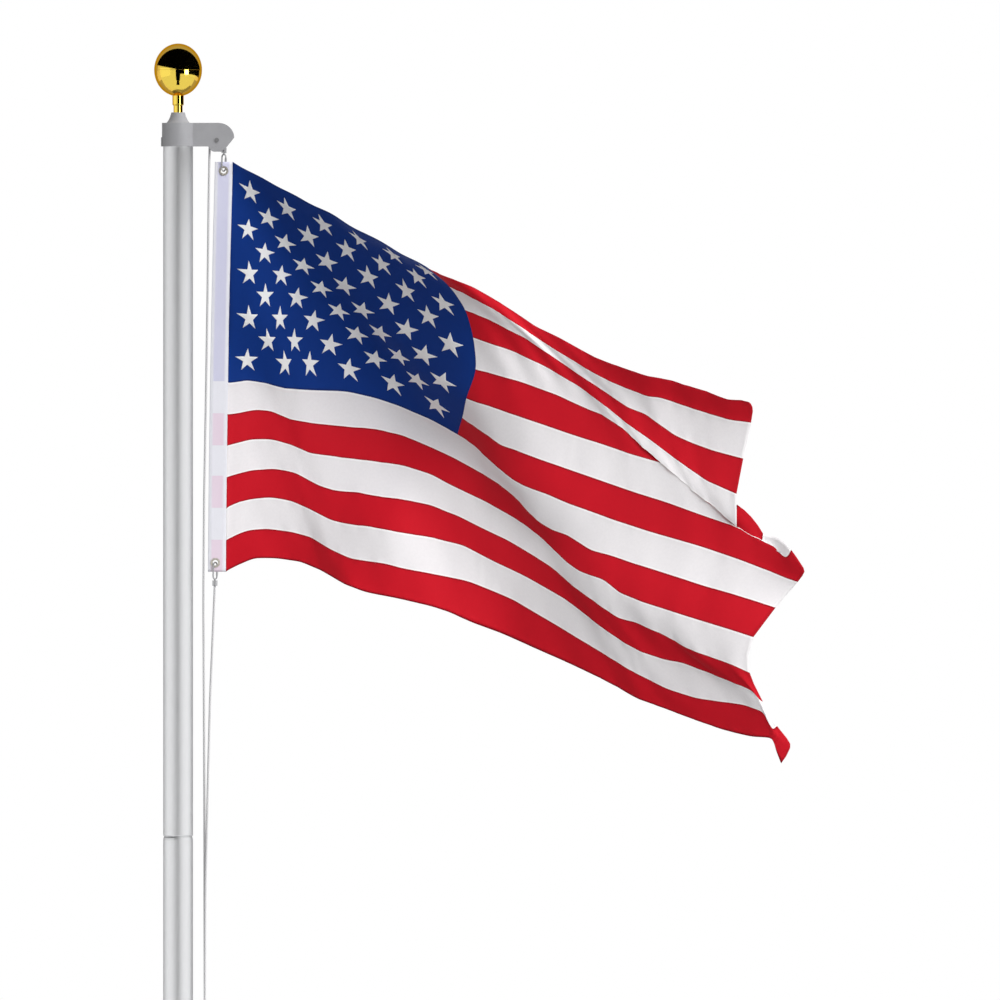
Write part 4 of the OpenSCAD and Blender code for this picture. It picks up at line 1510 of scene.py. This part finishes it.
@dataclass
class Studio:
    """Floor, light, reflection cards and the camera at the photograph's view.

    Lengths are metres from the pole's foot. Every card, hood, apron and runner shows in reflections alone.
    """

    frame_width: float = 2.21
    centre_x: float = 0.7114
    centre_z: float = 4.8576
    lens: float = 1200.0
    sensor: float = 36.0
    view_end: float = 1000.0
    ball_z: float = 5.808
    ambient: float = 0.67
    sideways: float = 0.6
    sun: float = 2.55
    sun_from: Triple = (0.6, -0.52, 0.6)
    sun_angle: float = 60.0
    floor_size: float = 240.0
    floor_drop: float = 0.002
    floor_paint: Colour = (0.9, 0.9, 0.9)
    floor_dull: Colour = (0.35, 0.35, 0.35)
    floor_roughness: float = 0.9
    floor_marks: Triple = (3.0, 3.0, 3.0)
    floor_tones: Pair = (0.99, 1.01)
    floor_glow: float = 0.1
    hood_segments: int = 64
    hood_radius: float = 14.0
    hood_parting: float = -0.2
    apron_segments: int = 96
    card_away: float = 6.0
    runner_z: float = 0.01

    def camera(self) -> None:
        """Places a long-lens camera level with the middle of the picture."""
        data = bpy.data.cameras.new("view")
        data.lens = self.lens
        data.sensor_width = self.sensor
        data.clip_end = self.view_end
        away = self.frame_width * self.lens / self.sensor
        eye = bpy.data.objects.new("view", data)
        eye.location = (self.centre_x, -away, self.centre_z)
        eye.rotation_euler = (math.pi / 2, 0.0, 0.0)
        bpy.context.scene.collection.objects.link(eye)
        bpy.context.scene.camera = eye

    def seen(self, sheet: ShaderSheet) -> bpy.types.NodeSocket:
        """Tells a ray from the camera or a reflection from one that gathers light.

        Args:
            sheet: Sheet of a stage piece or the world.

        Returns:
            1 for a ray from the camera or a reflection, and 0 for the others.
        """
        path = sheet.node("ShaderNodeLightPath")
        shiny = sheet.math("MAXIMUM", path.outputs["Is Glossy Ray"], path.outputs["Is Transmission Ray"])
        return sheet.math("MAXIMUM", path.outputs["Is Camera Ray"], shiny)

    def world(self) -> None:
        """Makes a world that is white to see and softer as light, which is stronger from the right."""
        world = bpy.data.worlds.new("studio")
        world.use_nodes = True
        bpy.context.scene.world = world
        sheet = ShaderSheet(world.node_tree)
        light = world.node_tree.nodes["Background"]
        light.inputs["Color"].default_value = (1.0, 1.0, 1.0, 1.0)
        split = sheet.split(sheet.node("ShaderNodeTexCoord").outputs["Generated"])
        soft = sheet.math("MULTIPLY_ADD", split.outputs["X"], self.ambient * self.sideways, self.ambient)
        white = sheet.math("MULTIPLY_ADD", self.seen(sheet), sheet.math("SUBTRACT", 1.0, soft), soft)
        sheet.link(white, light.inputs["Strength"])

    def floor(self) -> None:
        """Lays a wide pale floor at ground level, duller to the light that it sends up."""
        deselect_all()
        bpy.ops.mesh.primitive_plane_add(size=self.floor_size, location=(0, 0, -self.floor_drop))
        floor = bpy.context.object
        floor.name = "studio_floor"
        finish = Finish("studio_floor", self.floor_paint, self.floor_roughness)
        material, sheet, shader, place = finish.start()
        grain = finish.group(sheet, Groups.grain(), place.outputs["Object"], Stretch=self.floor_marks)
        painted = sheet.mix(grain.outputs["Broad"], *map(finish.shade, self.floor_tones))
        sheet.link(sheet.mix(self.seen(sheet), self.floor_dull, painted), shader.inputs["Base Color"])
        path = sheet.node("ShaderNodeLightPath")
        shader.inputs["Emission Color"].default_value = (1.0, 1.0, 1.0, 1.0)
        glow = sheet.math("MULTIPLY", path.outputs["Is Glossy Ray"], self.floor_glow)
        sheet.link(glow, shader.inputs["Emission Strength"])
        floor.data.materials.append(material)

    def sunlight(self) -> None:
        """Sets one broad soft light from the upper right, in front."""
        data = bpy.data.lights.new("key", "SUN")
        data.energy = self.sun
        data.angle = math.radians(self.sun_angle)
        lamp = bpy.data.objects.new("key", data)
        lamp.rotation_euler = (-Vector(self.sun_from)).to_track_quat("-Z", "Y").to_euler()
        lamp.visible_glossy = False
        bpy.context.scene.collection.objects.link(lamp)

    def reflector(self, card: bpy.types.Object, tone: float, inside: float | None = None) -> None:
        """Turns an object into an even glow or shade that only reflections show.

        Args:
            card: The object.
            tone: Its brightness.
            inside: Brightness of its other face, if that differs.
        """
        material = bpy.data.materials.new(card.name)
        material.use_nodes = True
        sheet = ShaderSheet(material.node_tree)
        glow = sheet.node("ShaderNodeEmission")
        glow.inputs["Strength"].default_value = tone
        if inside is not None:
            side = sheet.node("ShaderNodeNewGeometry")
            sheet.link(sheet.ranged(side.outputs["Backfacing"], tone, inside), glow.inputs["Strength"])
        sheet.link(glow.outputs[0], material.node_tree.nodes["Material Output"].inputs["Surface"])
        card.data.materials.append(material)
        card.visible_camera = False
        card.visible_diffuse = False
        card.visible_shadow = False
        card.visible_transmission = False

    def card(self, name: str, bearing: float, foot: float, top: float, width: float, tone: float) -> None:
        """Stands an upright card round the pole.

        Args:
            name: Its name.
            bearing: Degrees from straight in front, to the right.
            foot: Height of its lower edge.
            top: Height of its upper edge.
            width: Its width.
            tone: Its brightness.
        """
        turn = math.radians(bearing)
        place = (self.card_away * math.sin(turn), -self.card_away * math.cos(turn), (foot + top) / 2)
        deselect_all()
        bpy.ops.mesh.primitive_plane_add(size=1.0, location=place, rotation=(math.pi / 2, 0, turn))
        made = bpy.context.object
        made.name = name
        made.scale = (width, top - foot, 1.0)
        self.reflector(made, tone)

    def trim(self, made: bpy.types.Object, name: str, cuts: tuple[Cut, ...]) -> None:
        """Names a shell and cuts it down to the part that is wanted.

        Args:
            made: The shell, which is the active object.
            name: Its name.
            cuts: Point and normal of each plane; what lies ahead of the normal stays.
        """
        made.name = name
        bpy.ops.object.mode_set(mode="EDIT")
        for point, normal in cuts:
            bpy.ops.mesh.select_all(action="SELECT")
            bpy.ops.mesh.bisect(plane_co=point, plane_no=normal, clear_inner=True)
        bpy.ops.object.mode_set(mode="OBJECT")

    def hood(self, name: str, radius: float, tone: float, *cuts: Cut) -> None:
        """Hangs part of a large shell round the set, level with the ball.

        Args:
            name: Its name.
            radius: Its radius.
            tone: Its brightness.
            cuts: Point and normal of each plane that trims it; what lies ahead of the normal stays.
        """
        deselect_all()
        bpy.ops.mesh.primitive_uv_sphere_add(
            segments=self.hood_segments, ring_count=self.hood_segments // 2, radius=radius,
            location=(0, 0, self.ball_z))
        made = bpy.context.object
        self.trim(made, name, cuts)
        self.reflector(made, tone)

    def apron(self, name: str, reach: Pair, drop: float, bearings: Pair, below: float, above: float) -> None:
        """Spreads part of a wide shallow funnel whose outer rim is level with the ball.

        Args:
            name: Its name.
            reach: Radius of its inner edge and of its outer rim.
            drop: How far the inner edge lies below the rim.
            bearings: First and last bearing in degrees from straight in front, to the right.
            below: Brightness seen from below.
            above: Brightness seen from above.
        """
        deselect_all()
        bpy.ops.mesh.primitive_cone_add(
            vertices=self.apron_segments, radius1=reach[0], radius2=reach[1], depth=drop,
            end_fill_type="NOTHING", location=(0, 0, self.ball_z - drop / 2))
        made = bpy.context.object
        first, last = (math.radians(bearing) for bearing in bearings)
        self.trim(made, name, (((0, 0, 0), (math.cos(first), math.sin(first), 0)),
                               ((0, 0, 0), (-math.cos(last), -math.sin(last), 0))))
        self.reflector(made, below, above)

    def build(self) -> None:
        """Sets up everything around the object."""
        bpy.context.scene.view_settings.view_transform = "Standard"
        self.camera()
        self.world()
        self.floor()
        self.sunlight()
        self.surroundings()

    def surroundings(self) -> None:
        """Hangs what the polished ball and the satin pole show.

        Dark hoods make the ball's upper half black, and the grey hood and grey runner darken its rim.
        The aprons draw its horizon and a bright window, and the dark stand and dark runner draw a post.
        The glowing cards brighten the pole's two sides.
        """
        level, parting, wide = self.ball_z, self.hood_parting, self.hood_radius
        in_front: Cut = ((0.0, 9.4, level), (0.0, -1.0, -0.475))
        at_the_back: Cut = ((0.0, 7.0, level), (0.0, 1.0, 0.475))
        to_the_left: Cut = ((parting, 0.0, 0.0), (-1.0, 0.0, 0.0))
        to_the_right: Cut = ((parting, 0.0, 0.0), (1.0, 0.0, 0.0))
        left_lid: Cut = ((0.0, 0.0, level + 0.45), (0.155, 0.0, 1.0))
        right_lid: Cut = ((0.0, 0.0, level - 0.1), (0.0, 0.0, 1.0))
        off_the_floor: Cut = ((0.0, 0.0, 0.5), (0.0, 0.0, 1.0))
        self.hood("left_hood", wide, 0.0, left_lid, to_the_left, in_front)
        self.hood("right_hood", wide, 0.0, right_lid, to_the_right, in_front)
        self.hood("grey_hood", wide + 1.0, 0.62, off_the_floor, at_the_back)
        self.apron("dark_apron", reach=(0.62, wide), drop=0.166, bearings=(11, 125), below=1.15, above=0.0)
        self.apron("window_glow", reach=(0.55, 5.0), drop=0.165, bearings=(33, 51), below=0.0, above=12.0)
        self.card("left_glow", bearing=-68, foot=3.4, top=6.5, width=7.0, tone=1.38)
        self.card("right_glow", bearing=68, foot=3.4, top=5.65, width=7.0, tone=1.25)
        self.card("dark_stand", bearing=0, foot=0.0, top=6.2, width=2.4, tone=0.0)
        self.runner("dark_runner", width=1.5, reach=(2.7, 6.1), tone=0.0)
        self.runner("grey_runner", width=24.0, reach=(-wide, -2.2), tone=0.6)

    def runner(self, name: str, width: float, reach: Pair, tone: float) -> None:
        """Lays a strip on the floor, which only reflections show.

        Args:
            name: Its name.
            width: Its width.
            reach: Distance of its two ends in front of the pole, or behind it where negative.
            tone: Its brightness.
        """
        near, far = reach
        deselect_all()
        bpy.ops.mesh.primitive_plane_add(size=1.0, location=(0, -(near + far) / 2, self.runner_z))
        made = bpy.context.object
        made.name = name
        made.scale = (width, far - near, 1.0)
        self.reflector(made, tone)


def attach(piece: bpy.types.Object, body: Body, slot: str, *nodes: str) -> None:
    """Lets a piece ride on a body and stand for frame nodes.

    Args:
        piece: The piece.
        body: The body it moves with.
        slot: Name of a material slot, which is not used.
        nodes: The nodes that it replaces.
    """
    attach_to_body(piece, body.value)
    if nodes:
        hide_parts(*nodes)
    LOG.info("%s: %d faces, rides on %s", piece.name, len(piece.data.polygons), body.value)


def main() -> None:
    """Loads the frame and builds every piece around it."""
    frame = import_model()
    finishes = Finishes()
    for node, finish in NODE_FINISHES.items():
        finishes.dress(frame["nodes"][node], finish)
        LOG.info("%s: %s", node, finish)

    tape = HeadingTape()
    flag = Flag()
    flag.shape(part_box("flag_heading")[1])
    cloth = flag.build_cloth(finishes)
    attach(cloth, Body.FLAG, "white_cloth", "flag_canton", "flag_red_stripes", "flag_white_stripes")
    stars = flag.build_stars(finishes)
    attach(stars, Body.FLAG, "white_cloth")
    # The cloth and its stars are kept out of the reflections in the ball and the pole.
    for sewn in (cloth, stars):
        sewn.visible_glossy = False
    heading = tape.build(finishes)
    attach(heading, Body.FLAG, "heading_tape", "flag_heading")

    halyard = Halyard()
    attach(halyard.build_rope(finishes), Body.MAST, "rope", "halyard")
    attach(halyard.build_hitch(finishes), Body.MAST, "rope", "halyard_hitch")

    ball = BallFinial()
    attach(ball.build(finishes), Body.MAST, "gold", "ball_lower_half", "ball_upper_half")

    Studio().build()


if __name__ == "__main__":
    main()
